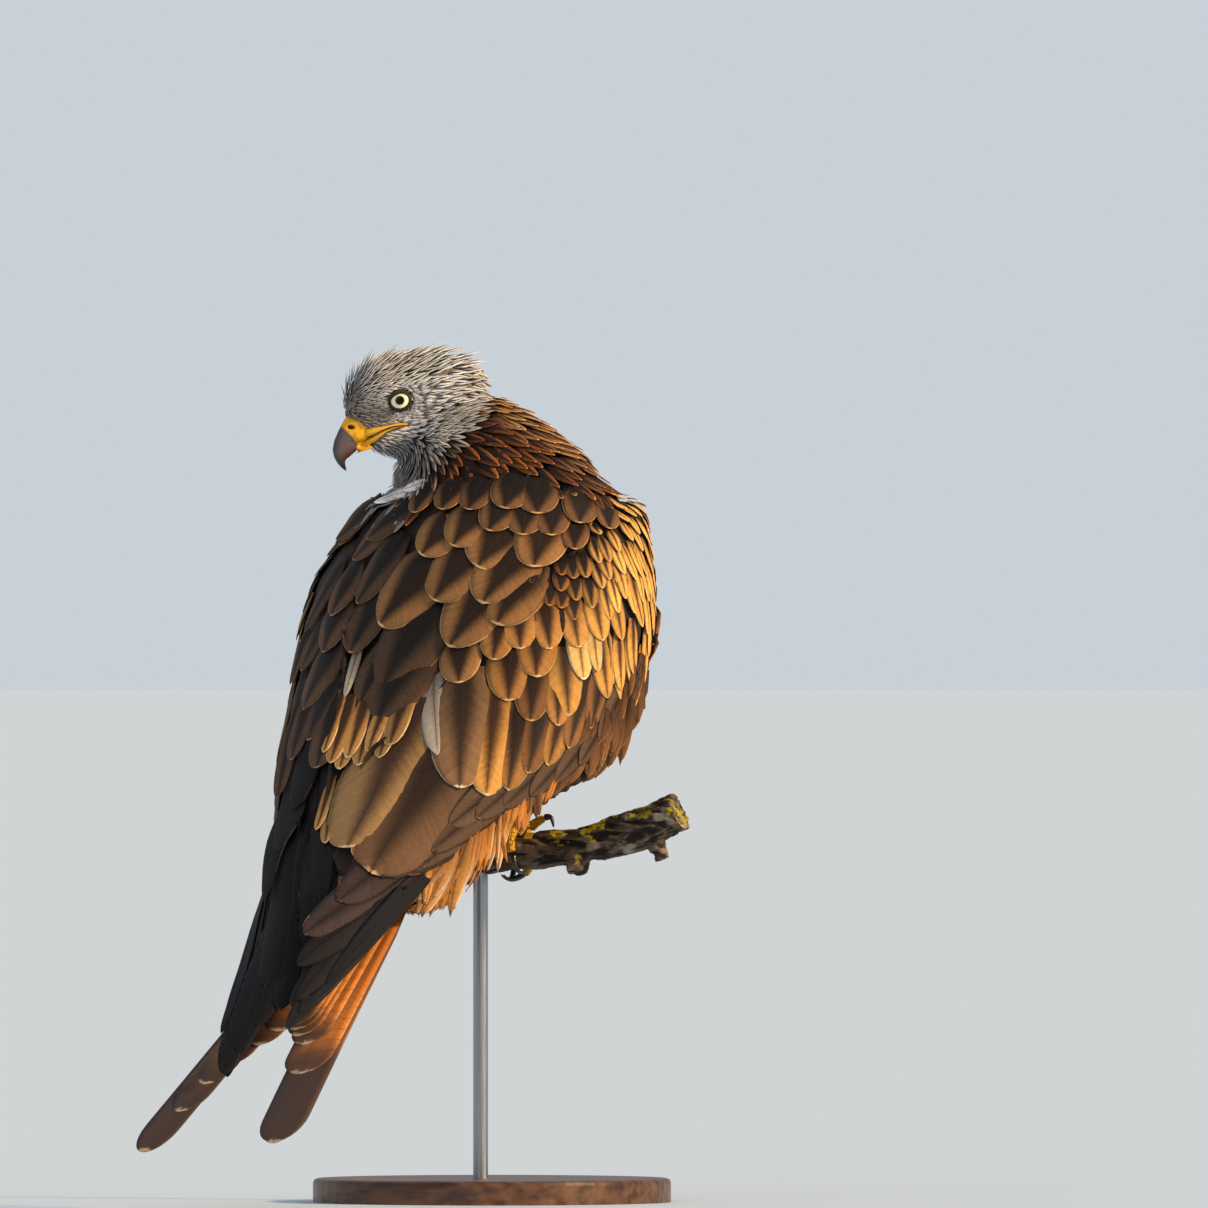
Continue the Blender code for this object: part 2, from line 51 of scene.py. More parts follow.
MM = 0.001
FLESH = ("head", "neck", "trunk", "thigh_left", "thigh_right", "wing_left", "wing_right")
SKIN_VOXEL = 2.2 * MM
SKIN_SMOOTHING = 12
COAT_DEPTH = {"head": 1.6, "neck": 3.5, "trunk": 4.5, "thigh_left": 2.5, "thigh_right": 2.5,
              "wing_left": 3.0, "wing_right": 3.0}
dice = np.random.default_rng(22)


def paint(code):
    """A colour given as the eye sees it, turned into the renderer's linear values."""
    parts = np.array([int(code[k : k + 2], 16) / 255 for k in (0, 2, 4)])
    return np.where(parts <= 0.04045, parts / 12.92, ((parts + 0.055) / 1.055) ** 2.4)


def link(name, mesh):
    piece = bpy.data.objects.new(name, mesh)
    bpy.context.scene.collection.objects.link(piece)
    return piece


def piece_from(bm, name, ending=""):
    """A new piece from a mesh that is built."""
    mesh = bpy.data.meshes.new(name + ending)
    bm.to_mesh(mesh)
    bm.free()
    return link(name, mesh)


def moulded(name, nodes, voxel, smoothing):
    """One closed skin over copies of several solids."""
    bm = bmesh.new()
    for node in nodes:
        bm.from_mesh(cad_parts[node].data)
    bmesh.ops.remove_doubles(bm, verts=bm.verts, dist=0.002 * MM)
    return smoothed(piece_from(bm, name, "_solids"), voxel, smoothing)


def smoothed(piece, voxel, smoothing):
    """Runs one closed surface over a piece and smooths it."""
    change = piece.modifiers.new("voxels", "REMESH")
    change.mode = "VOXEL"
    change.voxel_size = voxel
    change = piece.modifiers.new("smooth", "SMOOTH")
    change.iterations = smoothing
    change.factor = 0.5
    depsgraph = bpy.context.evaluated_depsgraph_get()
    done = bpy.data.meshes.new_from_object(piece.evaluated_get(depsgraph))
    piece.modifiers.clear()
    piece.data = done
    done.name = piece.name
    done.materials.clear()
    return piece


def mesh_arrays(mesh):
    """A mesh's points in millimetres and its triangles."""
    points = np.zeros(len(mesh.vertices) * 3, np.float32)
    mesh.vertices.foreach_get("co", points)
    mesh.calc_loop_triangles()
    corners = np.zeros(len(mesh.loop_triangles) * 3, np.int32)
    mesh.loop_triangles.foreach_get("vertices", corners)
    return points.reshape(-1, 3).astype(float) / MM, corners.reshape(-1, 3)


def set_points(mesh, points):
    mesh.vertices.foreach_set("co", (points * MM).astype(np.float32).ravel())


def unit(vectors):
    return vectors / np.maximum(np.linalg.norm(vectors, axis=-1, keepdims=True), 1e-9)


def tree_over(points, triangles):
    return BVHTree.FromPolygons([Vector(p) for p in points], triangles.tolist())


def onto(tree, points):
    """The nearest places on a surface, with its outward directions there."""
    places, normals = np.empty_like(points), np.empty_like(points)
    for k, point in enumerate(points):
        place, normal, _, _ = tree.find_nearest(Vector(point))
        places[k], normals[k] = place, normal
    return places, normals


# The head's own axes, from the places of the eyes. The head is turned far to the bird's left and
# looks a little downwards.

HEAD_DROOP = math.radians(20)


def middle_of(node):
    low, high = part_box(node)
    return np.array((low + high) / 2) / MM


EYE = {"left": middle_of("eye_left"), "right": middle_of("eye_right")}
head_left = unit(EYE["left"] - EYE["right"])
head_level = np.cross(head_left, (0, 0, 1))
head_ahead = head_level * math.cos(HEAD_DROOP) - np.array((0, 0, 1)) * math.sin(HEAD_DROOP)
head_above = np.cross(head_ahead, head_left)
head_middle = (EYE["left"] + EYE["right"]) / 2 - head_ahead * 5.3 - head_above * 2.5


def in_head(points):
    """Points as distances ahead, left and above in the head's own axes."""
    away = np.asarray(points) - head_middle
    return np.stack([away @ head_ahead, away @ head_left, away @ head_above], axis=-1)


def from_head(ahead, left, above):
    return head_middle + head_ahead * ahead + head_left * left + head_above * above


# The photograph's view, which places the large feathers. The bird is seen from behind on its right,
# level, and from far away.

VIEW_TURN = math.radians(32)
PIXEL = 0.67
VIEW_ORIGIN = (492, 1202)
SIGHT_START = 2000
SURFACE_NEAR = 60
view_ahead = np.array((math.sin(VIEW_TURN), -math.cos(VIEW_TURN), 0))
view_right = np.array((-math.cos(VIEW_TURN), -math.sin(VIEW_TURN), 0))
UP = np.array((0, 0, 1.0))


def in_view(x, y):
    """The place of a pixel on the upright plane through the stand's axis."""
    return view_right * (x - VIEW_ORIGIN[0]) * PIXEL + UP * (VIEW_ORIGIN[1] - y) * PIXEL


def sight(tree, start):
    """What a surface shows along the line of sight through a place: first its place and direction."""
    return tree.ray_cast(Vector(start - view_ahead * SIGHT_START), Vector(view_ahead))


def nearest_to(tree, start):
    return tree.find_nearest(Vector(start - view_ahead * SURFACE_NEAR))[0]


def seen_at(x, y, tree):
    """The place on a surface that shows at a pixel, or the nearest place where none does."""
    start = in_view(x, y)
    place = sight(tree, start)[0]
    return np.array(nearest_to(tree, start) if place is None else place)


def seen_spine(root, tip, steps, tree):
    """A smooth line over a surface that runs straight from pixel to pixel in the photograph."""
    starts, depths, facings = [], [], []
    for share in steps:
        start = in_view(root[0] + (tip[0] - root[0]) * share, root[1] + (tip[1] - root[1]) * share)
        place, normal, _, _ = sight(tree, start)
        starts.append(start)
        depths.append(np.nan if place is None else np.array(place) @ view_ahead)
        facings.append(np.full(3, np.nan) if place is None else np.array(normal))
    starts, depths, facings = np.array(starts), np.array(depths), np.array(facings)
    hit = ~np.isnan(depths)
    if hit.sum() < 4:
        near = np.array(nearest_to(tree, starts[0]))
        return starts + view_ahead * (near @ view_ahead), np.tile(-view_ahead, (len(steps), 1))
    curve = np.polyfit(steps[hit], depths[hit], 2)
    calm = hit & (np.abs(np.nan_to_num(depths) - np.polyval(curve, steps)) < 5)
    if calm.sum() > 4:
        curve = np.polyfit(steps[calm], depths[calm], 2)
    bends = [np.polyval(np.polyfit(steps[hit], facings[hit][:, k], 1), steps) for k in range(3)]
    return starts + view_ahead * np.polyval(curve, steps)[:, None], unit(np.stack(bends, axis=1))


def view_shell(tree, corner, far_corner, step=5, rounds=40):
    """A smooth sheet over all that shows in part of the view, and the same sheet mirrored."""
    xs, ys = np.arange(corner[0], far_corner[0], step), np.arange(corner[1], far_corner[1], step)
    starts = np.array([[in_view(x, y) for x in xs] for y in ys])
    depth = np.zeros((len(ys), len(xs)))
    known = np.zeros(depth.shape, bool)
    for j, k in np.ndindex(depth.shape):
        place = sight(tree, starts[j, k])[0]
        if place is not None:
            depth[j, k], known[j, k] = np.array(place) @ view_ahead, True
    sheet, filled = depth * known, known.copy()

    def around(values):
        padded = np.pad(values, 1, mode="edge")
        return padded[:-2, 1:-1] + padded[2:, 1:-1] + padded[1:-1, :-2] + padded[1:-1, 2:]

    while not filled.all():
        near = around(filled.astype(float))
        guess = around(sheet * filled) / np.maximum(near, 1)
        fresh = ~filled & (near > 0)
        sheet[fresh] = guess[fresh]
        filled |= fresh
    for number in range(rounds):
        sheet = around(sheet) / 4
        if number < rounds - 8:
            sheet = np.where(known, np.minimum(sheet, depth), sheet)
    points = (starts + view_ahead * (sheet[..., None] - 0.8)).reshape(-1, 3)
    corners = np.arange(len(points)).reshape(depth.shape)
    a, b, c, d = corners[:-1, :-1], corners[:-1, 1:], corners[1:, 1:], corners[1:, :-1]
    halves = [np.stack(half, -1).reshape(-1, 3) for half in ((a, d, c), (a, c, b))]
    triangles = np.concatenate(halves)
    first = points[triangles[0]]
    if np.cross(first[1] - first[0], first[2] - first[0]) @ view_ahead > 0:
        triangles = triangles[:, ::-1]
    return tree_over(points, triangles), tree_over(points * (-1, 1, 1), triangles[:, ::-1])


def pixel_of(points):
    """The photograph's pixel at which each point shows."""
    across = points @ view_right / PIXEL + VIEW_ORIGIN[0]
    return np.stack([across, VIEW_ORIGIN[1] - points[..., 2] / PIXEL], axis=-1)


# The skin, with the brows raised over the eyes, the lores hollowed, and the crown and nape lowered so
# that their raised feathers end at the head's outline.


def smooth_step(low, high, value):
    share = np.clip((value - low) / (high - low), 0, 1)
    return share * share * (3 - 2 * share)


skin = moulded("skin", FLESH, SKIN_VOXEL, SKIN_SMOOTHING)
form_points, form_triangles = mesh_arrays(skin.data)
local = in_head(form_points)
ahead, above = local[:, 0], local[:, 2]
onto_head = smooth_step(34, 30, np.abs(local[:, 1])) * (np.abs(ahead + 15) < 60) * (form_points[:, 2] > 500)
rise = -1.2 * smooth_step(2, 24, above) * smooth_step(30, 8, ahead)
rise -= 1.8 * smooth_step(-18, -46, ahead) * smooth_step(-20, 2, above)
rise -= 6.5 * smooth_step(-42, -62, ahead) * smooth_step(-26, -4, above)
for label in EYE:
    off = form_points - EYE[label]
    level, high = off @ head_level, off[:, 2]
    outer_side = smooth_step(-4, 4, off @ head_left * (1 if label == "left" else -1))
    brow = np.exp(-(((high - 9 + 0.16 * level) / 2.4) ** 2)) * smooth_step(13, 9, np.abs(level - 2))
    rise += outer_side * 1.3 * brow
    rise -= outer_side * 1.0 * smooth_step(8, 3, np.abs(high + 5)) * smooth_step(9, 4, np.abs(level - 19))
out = np.array([vert.normal for vert in skin.data.vertices])
seen = pixel_of(form_points)
hollow = np.linalg.norm(seen - (383, 484), axis=1)
neck_top = smooth_step(496, 514, seen[:, 0]) * smooth_step(590, 560, seen[:, 0])
neck_top *= smooth_step(0.1, 0.6, out[:, 2]) * smooth_step(490, 510, form_points[:, 2])
past_hem = seen[:, 1] - np.interp(seen[:, 0], (520, 550, 580, 610, 640), (806, 790, 762, 735, 700))
flank = smooth_step(-4, 14, past_hem) * smooth_step(515, 540, seen[:, 0])
flank *= smooth_step(860, 830, seen[:, 1])
rise = rise * onto_head - 8 * smooth_step(26, 6, hollow) - 3.2 * neck_top - 6 * flank
form_points += out * rise[:, None]
set_points(skin.data, form_points)
skin.data.update()
form = tree_over(form_points, form_triangles)
form_centres = form_points[form_triangles].mean(axis=1)
form_crosses = np.cross(
    form_points[form_triangles[:, 1]] - form_points[form_triangles[:, 0]],
    form_points[form_triangles[:, 2]] - form_points[form_triangles[:, 0]],
)
form_areas = np.linalg.norm(form_crosses, axis=1) / 2
form_normals = unit(form_crosses)

node_points, node_triangles, node_of_triangle = [], [], []
offset = 0
for number, node in enumerate(FLESH):
    points, triangles = mesh_arrays(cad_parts[node].data)
    node_points.append(points)
    node_triangles.append(triangles + offset)
    node_of_triangle += [number] * len(triangles)
    offset += len(points)
node_tree = tree_over(np.concatenate(node_points), np.concatenate(node_triangles))


def nearest_flesh(points):
    """The number in FLESH of the solid nearest to each point."""
    found = [node_of_triangle[node_tree.find_nearest(Vector(p))[2]] for p in points]
    return np.array(found)


form_flesh = nearest_flesh(form_centres)
part = {node: form_flesh == number for number, node in enumerate(FLESH)}

# One vane is a thin closed blade with a round or pointed tip, pressed along the form under it. All
# the vanes of a tract are one mesh. Each point carries its place on its own vane and the vane's
# paint, and the map OFBake gives each vane a small patch at its root's place on the unwrapped skin.

BAKE_PATCH = 0.003
FEATHER_PAINTS = ("centre", "body", "fringe")


def mix(first, second, share):
    share = np.asarray(share)[..., None]
    return np.asarray(first) * (1 - share) + np.asarray(second) * share


def spread(value, count):
    return np.broadcast_to(np.asarray(value, float), (count,)).copy()


def store(mesh, name, values):
    """Keeps a number or a vector at each point of a mesh."""
    kind, field = ("FLOAT", "value") if values.ndim == 1 else ("FLOAT_VECTOR", "vector")
    kept = mesh.attributes.new(name, kind, "POINT")
    kept.data.foreach_set(field, values.astype(np.float32).ravel())


def store_colour(mesh, name, colours):
    tone = np.ones((len(colours), 4))
    tone[:, :3] = colours
    kept = mesh.color_attributes.new(name, "FLOAT_COLOR", "POINT")
    kept.data.foreach_set("color", tone.astype(np.float32).ravel())


def run_along(tree, start, flow, length, steps, turn, hang, lift):
    """Spines that set off along the flow. They keep to the surface, or leave it as far as they hang."""
    place, normal = onto(tree, start)
    heading = unit(flow - normal * np.sum(flow * normal, axis=1, keepdims=True))
    heading = unit(heading + normal * (lift * hang)[:, None])
    normal = unit(normal - heading * np.sum(heading * normal, axis=1, keepdims=True))
    places, normals, headings = [place], [normal], [heading]
    free = hang[:, None]
    for before, after in zip(steps, steps[1:]):
        reach = (length * (after - before))[:, None]
        side = np.cross(normal, heading)
        heading = unit(heading + side * (turn * (after - before))[:, None])
        straight = place + heading * reach
        found, found_normal = onto(tree, straight)
        place = found * (1 - free) + straight * free
        normal = unit(found_normal * (1 - free) + normal * free)
        flat = unit(heading - normal * np.sum(heading * normal, axis=1, keepdims=True))
        heading = unit(flat * (1 - free) + heading * free)
        places.append(place)
        normals.append(normal)
        headings.append(heading)
    return np.stack(places), np.stack(normals), np.stack(headings)


def skin_place(points):
    """A place on the unwrapped skin, with one island for each part of the body."""
    flesh = nearest_flesh(points)
    local = in_head(points)
    spot = np.zeros((len(points), 2))
    head = flesh == 0
    around = np.arctan2(local[:, 1], local[:, 2]) / (2 * math.pi) + 0.5
    spot[head, 0] = 0.02 + 0.44 * around[head]
    spot[head, 1] = 0.74 + 0.22 * np.clip((local[head, 0] + 70) / 125, 0, 1)
    centre_line = np.interp(points[:, 2], (160, 250, 350, 480), (190, 100, 40, 0))
    turn = np.arctan2(points[:, 0], points[:, 1] - centre_line) / (2 * math.pi) + 0.5
    body = ~head
    spot[body, 0] = 0.02 + 0.94 * turn[body]
    spot[body, 1] = 0.02 + 0.68 * np.clip((points[body, 2] - 30) / 500, 0, 1)
    return spot


def vane_steps(stations):
    """A vane's stations from its root to its tip, closer together at the tip."""
    return np.sin(np.linspace(0, math.pi / 2, stations + 1)) ** 0.92


def make_vanes(name, tree, start, flow, length, width, paints, marks=(0.4, 0.1), stations=6, columns=2,
               root=-1.5, tip=1.5, tip_start=0.5, tip_power=2.0, base=0.45, roll=0.0, camber=0.10,
               thick=0.35, fray=0.0, turn=0.0, curl=0.0, wrap=False, lean=0.0, hang=0.0, lift=0.0,
               spines=None):
    """A mesh of vanes. Lengths, widths and heights over the form are in millimetres."""
    count = len(start)
    length, width = spread(length, count), spread(width, count)
    root, tip, roll = spread(root, count), spread(tip, count), spread(roll, count)
    turn, curl, lean = spread(turn, count), spread(curl, count), spread(lean, count)
    hang, lift = spread(hang, count), spread(lift, count)
    steps = vane_steps(stations)
    if spines is None:
        _, _, heading = run_along(tree, start, flow, length, steps, turn, hang, lift)
        bend = smooth_step(0.62, 0.35, np.sum(heading[0] * heading[-1], axis=1))
        hang, length = np.maximum(hang, bend), length * (1 - 0.4 * bend)
        spine, normal, heading = run_along(tree, start, flow, length, steps, turn, hang, lift)
    else:
        spine, normal = spines
        heading = unit(np.gradient(spine, axis=0))
        normal = unit(normal - heading * np.sum(normal * heading, axis=2, keepdims=True))
    side = np.cross(normal, heading)
    swell = base + (1 - base) * smooth_step(0, 0.35, steps)
    near_tip = np.clip((steps - tip_start) / (1 - tip_start), 0, 1)
    rounding = (1 - near_tip**tip_power) ** (1 / min(tip_power, 2.0))
    half = swell * np.maximum(rounding, 0.05)
    across = np.linspace(-1, 1, columns + 1)
    ring_u = np.concatenate([across, across[-2:0:-1]])
    ring_face = np.concatenate([np.ones(columns + 1), -np.ones(columns - 1)])
    ring_size, ring_count = 2 * columns, stations + 1
    height = root + (tip - root) * steps[:, None] ** 1.25 + curl * steps[:, None] ** 3
    points = np.zeros((ring_count, count, ring_size, 3))
    ragged = 1 - fray * dice.random((count, ring_size)) * (np.abs(ring_u) > 0.01)
    for j in range(ring_count):
        half_width = half[j] * width / 2
        offset = (ring_u[None, :] + lean[:, None] * (1 - ring_u[None, :] ** 2)) * half_width[:, None]
        centre = spine[j][:, None, :] + side[j][:, None, :] * offset[..., None]
        up = np.repeat(normal[j][:, None, :], ring_size, axis=1)
        if wrap:
            flat, flat_normal = onto(tree, centre.reshape(-1, 3))
            flat, flat_normal = flat.reshape(centre.shape), flat_normal.reshape(centre.shape)
            moved = np.linalg.norm(flat - centre, axis=2) / (half_width[:, None] * 0.35 + 2.0)
            share = smooth_step(1.6, 0.9, moved) * smooth_step(0.0, 0.4, np.sum(flat_normal * up, axis=2))
            centre, up = mix(centre, flat, share), unit(mix(up, flat_normal, share * 0.7))
        arch = 1 - ring_u[None, :] ** 2
        rise = height[j][:, None] + roll[:, None] * offset + camber * half_width[:, None] * arch
        rise = rise + ring_face[None, :] * thick / 2 * (0.25 + 0.75 * arch) * (1 - 0.6 * steps[j])
        back = (1 - ragged) * length[:, None] * steps[j] ** 4
        points[j] = centre + up * rise[..., None] - heading[j][:, None, :] * back[..., None]
    # One vane's points run ring by ring, from its root to its tip.
    points = points.transpose(1, 0, 2, 3).reshape(-1, 3)
    ring = np.arange(ring_size)
    quads = []
    for j in range(stations):
        low = j * ring_size
        quads.append(np.stack([low + ring, low + ring_size + ring,
                               low + ring_size + np.roll(ring, -1), low + np.roll(ring, -1)], axis=1))
    quads = np.concatenate(quads)
    caps = np.stack([ring, ring[::-1] + stations * ring_size])
    vane_size = ring_size * ring_count
    shift = (np.arange(count) * vane_size)[:, None, None]
    all_quads = (quads[None] + shift).reshape(-1, 4)
    all_caps = (caps[None] + shift).reshape(-1, ring_size)
    corner_points = np.concatenate([all_quads.ravel(), all_caps.ravel()])
    sizes = np.concatenate([np.full(len(all_quads), 4), np.full(len(all_caps), ring_size)])
    mesh = bpy.data.meshes.new(name)
    mesh.vertices.add(len(points))
    set_points(mesh, points)
    mesh.loops.add(len(corner_points))
    mesh.loops.foreach_set("vertex_index", corner_points.astype(np.int32))
    mesh.polygons.add(len(sizes))
    mesh.polygons.foreach_set("loop_start", (np.cumsum(sizes) - sizes).astype(np.int32))
    mesh.update(calc_edges=True)
    mesh.shade_smooth()
    u = np.tile(ring_u, (count, ring_count, 1))
    v = np.broadcast_to(steps[None, :, None], u.shape)
    chance = np.broadcast_to(dice.random(count)[:, None, None], u.shape)
    store(mesh, "vane", np.stack([u, v, chance], axis=-1))
    half_all = half[None, :, None] * width[:, None, None] / 2
    whole = np.broadcast_to(length[:, None, None], u.shape)
    store(mesh, "barb", np.stack([u * half_all, v * whole, whole], axis=-1))
    streak, fringe = spread(marks[0], count), spread(marks[1], count)
    marking = np.stack([streak, fringe, fringe * width / 2 / length], axis=-1)
    store(mesh, "marks", np.repeat(marking[:, None, :], vane_size, axis=1))
    for label, colour in zip(FEATHER_PAINTS, paints):
        store_colour(mesh, label, np.repeat(np.broadcast_to(colour, (count, 3)), vane_size, axis=0))
    spot = skin_place(spine[0])
    patch = np.stack([u * 0.5, v - 0.5], axis=-1) * BAKE_PATCH
    bake = (spot[:, None, None, :] + patch).reshape(-1, 2)
    bake_map = mesh.uv_layers.new(name="OFBake")
    bake_map.data.foreach_set("uv", bake[corner_points].astype(np.float32).ravel())
    return link(name, mesh)


# The feathers' shared finish: a dark streak down the middle of each vane, a pale fringe round its
# edge, the shaft, the fine slanting barbs, and a painted shade toward each vane's root, where the
# feather above overlaps it.


def node_group(name, inputs, outputs):
    group = bpy.data.node_groups.new(name, "ShaderNodeTree")
    for label, kind in inputs:
        group.interface.new_socket(label, in_out="INPUT", socket_type="NodeSocket" + kind)
    for label, kind in outputs:
        group.interface.new_socket(label, in_out="OUTPUT", socket_type="NodeSocket" + kind)
    return group, group.nodes.new("NodeGroupInput"), group.nodes.new("NodeGroupOutput")


def add(tree, kind, **settings):
    node = tree.nodes.new("ShaderNode" + kind)
    for key, value in settings.items():
        setattr(node, key, value)
    return node


def join(tree, source, target):
    tree.links.new(source, target)


def reckon(tree, operation, *values, clamp=False):
    """A Math node over numbers or sockets."""
    node = add(tree, "Math", operation=operation, use_clamp=clamp)
    for k, value in enumerate(values):
        if isinstance(value, (int, float)):
            node.inputs[k].default_value = value
        else:
            join(tree, value, node.inputs[k])
    return node.outputs[0]


def soften(tree, value, low, high):
    """A smooth rise from 0 to 1 as the value goes from low to high."""
    node = add(tree, "MapRange", interpolation_type="SMOOTHSTEP")
    for label, number in (("Value", value), ("From Min", low), ("From Max", high)):
        if isinstance(number, (int, float)):
            node.inputs[label].default_value = number
        else:
            join(tree, number, node.inputs[label])
    return node.outputs[0]


def blend_colours(tree, share, first, second, mode="MIX"):
    node = add(tree, "Mix", data_type="RGBA", blend_type=mode)
    for label, value in ((0, share), (6, first), (7, second)):
        if hasattr(value, "links"):
            join(tree, value, node.inputs[label])
        elif label == 0:
            node.inputs[label].default_value = value
        else:
            node.inputs[label].default_value = (*value, 1)
    return node.outputs[2]


def own_place(tree):
    return add(tree, "TexCoord").outputs["Object"]


def noise(tree, scale, detail=3.0, coordinates=None):
    """Noise over the piece's own place in the object. The scale is for one metre."""
    node = add(tree, "TexNoise")
    node.inputs["Scale"].default_value = scale
    node.inputs["Detail"].default_value = detail
    join(tree, own_place(tree) if coordinates is None else coordinates, node.inputs["Vector"])
    return node.outputs["Fac"]


def stored(tree, name):
    """What the mesh keeps at its points under a name."""
    return add(tree, "Attribute", attribute_type="GEOMETRY", attribute_name=name).outputs


def attribute_parts(tree, name):
    parts = add(tree, "SeparateXYZ")
    join(tree, stored(tree, name)["Vector"], parts.inputs[0])
    return parts.outputs


BARB_SPACING = 1.05
SHAFT_WIDTH = 0.42

feather_marks, given, made = node_group(
    "feather_marks",
    (("Shaft", "Float"), ("Contrast", "Float"), ("Softness", "Float"), ("Root_Shade", "Float")),
    (("Color", "Color"), ("Height", "Float"), ("Roughness", "Float")),
)
u, v, chance = attribute_parts(feather_marks, "vane")
barb_x, barb_y, _ = attribute_parts(feather_marks, "barb")
streak_width, fringe_width, fringe_along = attribute_parts(feather_marks, "marks")
away = reckon(feather_marks, "ABSOLUTE", u)
wobble = reckon(feather_marks, "MULTIPLY_ADD", noise(feather_marks, 520), 0.16, -0.08)
taper = reckon(feather_marks, "MULTIPLY_ADD", v, -1.55, 1.75)
streak_edge = reckon(feather_marks, "MULTIPLY_ADD", streak_width, taper, wobble)
past_streak = reckon(feather_marks, "SUBTRACT", away, streak_edge)
soft_end = reckon(feather_marks, "MULTIPLY", given.outputs["Softness"], -0.7)
streak = soften(feather_marks, past_streak, given.outputs["Softness"], soft_end)
fringe_start = reckon(feather_marks, "SUBTRACT", 1.0, fringe_width)
side_fringe = reckon(feather_marks, "SUBTRACT", away, fringe_start)
least_width = reckon(feather_marks, "MAXIMUM", fringe_width, 0.02)
side_fringe = reckon(feather_marks, "DIVIDE", side_fringe, least_width)
end_start = reckon(feather_marks, "SUBTRACT", 1.0, fringe_along)
end_fringe = reckon(feather_marks, "SUBTRACT", v, end_start)
least_end = reckon(feather_marks, "MAXIMUM", fringe_along, 0.01)
end_fringe = reckon(feather_marks, "DIVIDE", end_fringe, least_end)
side_fringe = reckon(feather_marks, "ADD", side_fringe, reckon(feather_marks, "MULTIPLY_ADD", v, 1.6, -1.3))
fringe = soften(feather_marks, reckon(feather_marks, "MAXIMUM", side_fringe, end_fringe), -0.35, 0.65)
paint_of = {label: stored(feather_marks, label)["Color"] for label in FEATHER_PAINTS}
colour = blend_colours(feather_marks, streak, paint_of["body"], paint_of["centre"])
colour = blend_colours(feather_marks, fringe, colour, paint_of["fringe"])
slant = reckon(feather_marks, "ABSOLUTE", barb_x)
phase = reckon(feather_marks, "SUBTRACT", barb_y, reckon(feather_marks, "MULTIPLY", slant, 0.9))
uneven = reckon(feather_marks, "MULTIPLY", noise(feather_marks, 120), 1.6)
phase = reckon(feather_marks, "ADD", phase, uneven)
barbs = reckon(feather_marks, "SINE", reckon(feather_marks, "MULTIPLY", phase, 2 * math.pi / BARB_SPACING))
shaft = soften(feather_marks, slant, SHAFT_WIDTH, SHAFT_WIDTH * 0.4)
shaft = reckon(feather_marks, "MULTIPLY", shaft, soften(feather_marks, v, 0.98, 0.80))
mottle = reckon(feather_marks, "MULTIPLY_ADD", noise(feather_marks, 420, 4.0), 0.5, 0.75)
bars_at = add(feather_marks, "CombineXYZ")
join(feather_marks, reckon(feather_marks, "MULTIPLY", phase, 0.32), bars_at.inputs[0])
join(feather_marks, reckon(feather_marks, "MULTIPLY", chance, 40.0), bars_at.inputs[1])
bars = noise(feather_marks, 1.0, 3.0, bars_at.outputs[0])
mottle = reckon(feather_marks, "ADD", mottle, reckon(feather_marks, "MULTIPLY_ADD", bars, 0.7, -0.35))
shade = reckon(feather_marks, "MULTIPLY_ADD", barbs, given.outputs["Contrast"], mottle)
shade = reckon(feather_marks, "MULTIPLY", shade, reckon(feather_marks, "MULTIPLY_ADD", chance, 0.3, 0.85))
# Painted shade: each vane is darkened toward its root, where the feather above overlaps it.
root_shade = reckon(feather_marks, "MULTIPLY", soften(feather_marks, v, 0.74, 0.0), given.outputs["Root_Shade"])
root_shade = reckon(feather_marks, "SUBTRACT", 1.0, root_shade)
shade = reckon(feather_marks, "MULTIPLY", shade, root_shade)
darker = add(feather_marks, "VectorMath", operation="SCALE")
join(feather_marks, colour, darker.inputs[0])
join(feather_marks, shade, darker.inputs["Scale"])
shaft_share = reckon(feather_marks, "MULTIPLY", shaft, given.outputs["Shaft"])
colour = blend_colours(feather_marks, shaft_share, darker.outputs[0], paint("2a1c14"))
join(feather_marks, colour, made.inputs["Color"])
height = reckon(feather_marks, "MULTIPLY_ADD", shaft, 1.2, reckon(feather_marks, "MULTIPLY", barbs, 0.35))
join(feather_marks, height, made.inputs["Height"])
rough = reckon(feather_marks, "MULTIPLY_ADD", streak, -0.08, 0.66)
join(feather_marks, rough, made.inputs["Roughness"])


def finish(name, roughness=0.6, **sockets):
    """A material with its Principled shader, whose constant sockets are set by name."""
    made = bpy.data.materials.new(name)
    made.use_nodes = True
    shader = made.node_tree.nodes["Principled BSDF"]
    shader.inputs["Roughness"].default_value = roughness
    for label, value in sockets.items():
        shader.inputs[label.replace("_", " ")].default_value = value
    return made, made.node_tree, shader


def raise_surface(tree, shader, height, depth, strength=1.0):
    bump = add(tree, "Bump")
    bump.inputs["Strength"].default_value = strength
    bump.inputs["Distance"].default_value = depth * MM
    join(tree, height, bump.inputs["Height"])
    join(tree, bump.outputs[0], shader.inputs["Normal"])


def marked(tree, shader, shaft, contrast, softness, root, relief):
    """The feather marks in a material, joined to all but its colour, which is returned."""
    marks = add(tree, "Group", node_tree=feather_marks)
    settings = {"Shaft": shaft, "Contrast": contrast, "Softness": softness, "Root_Shade": root}
    for label, value in settings.items():
        marks.inputs[label].default_value = value
    join(tree, marks.outputs["Roughness"], shader.inputs["Roughness"])
    raise_surface(tree, shader, marks.outputs["Height"], relief)
    return marks.outputs["Color"]


# The root setting is how strongly each vane is darkened toward its root, a painted shade.
def feather_finish(name, shaft, contrast, relief, sheen=0.04, softness=0.30, root=0.5, gloss=0.2):
    made, tree, shader = finish(name, Sheen_Weight=sheen, Sheen_Roughness=0.4, Specular_IOR_Level=gloss)
    colour = marked(tree, shader, shaft, contrast, softness, root, relief)
    join(tree, colour, shader.inputs["Base Color"])
    return made


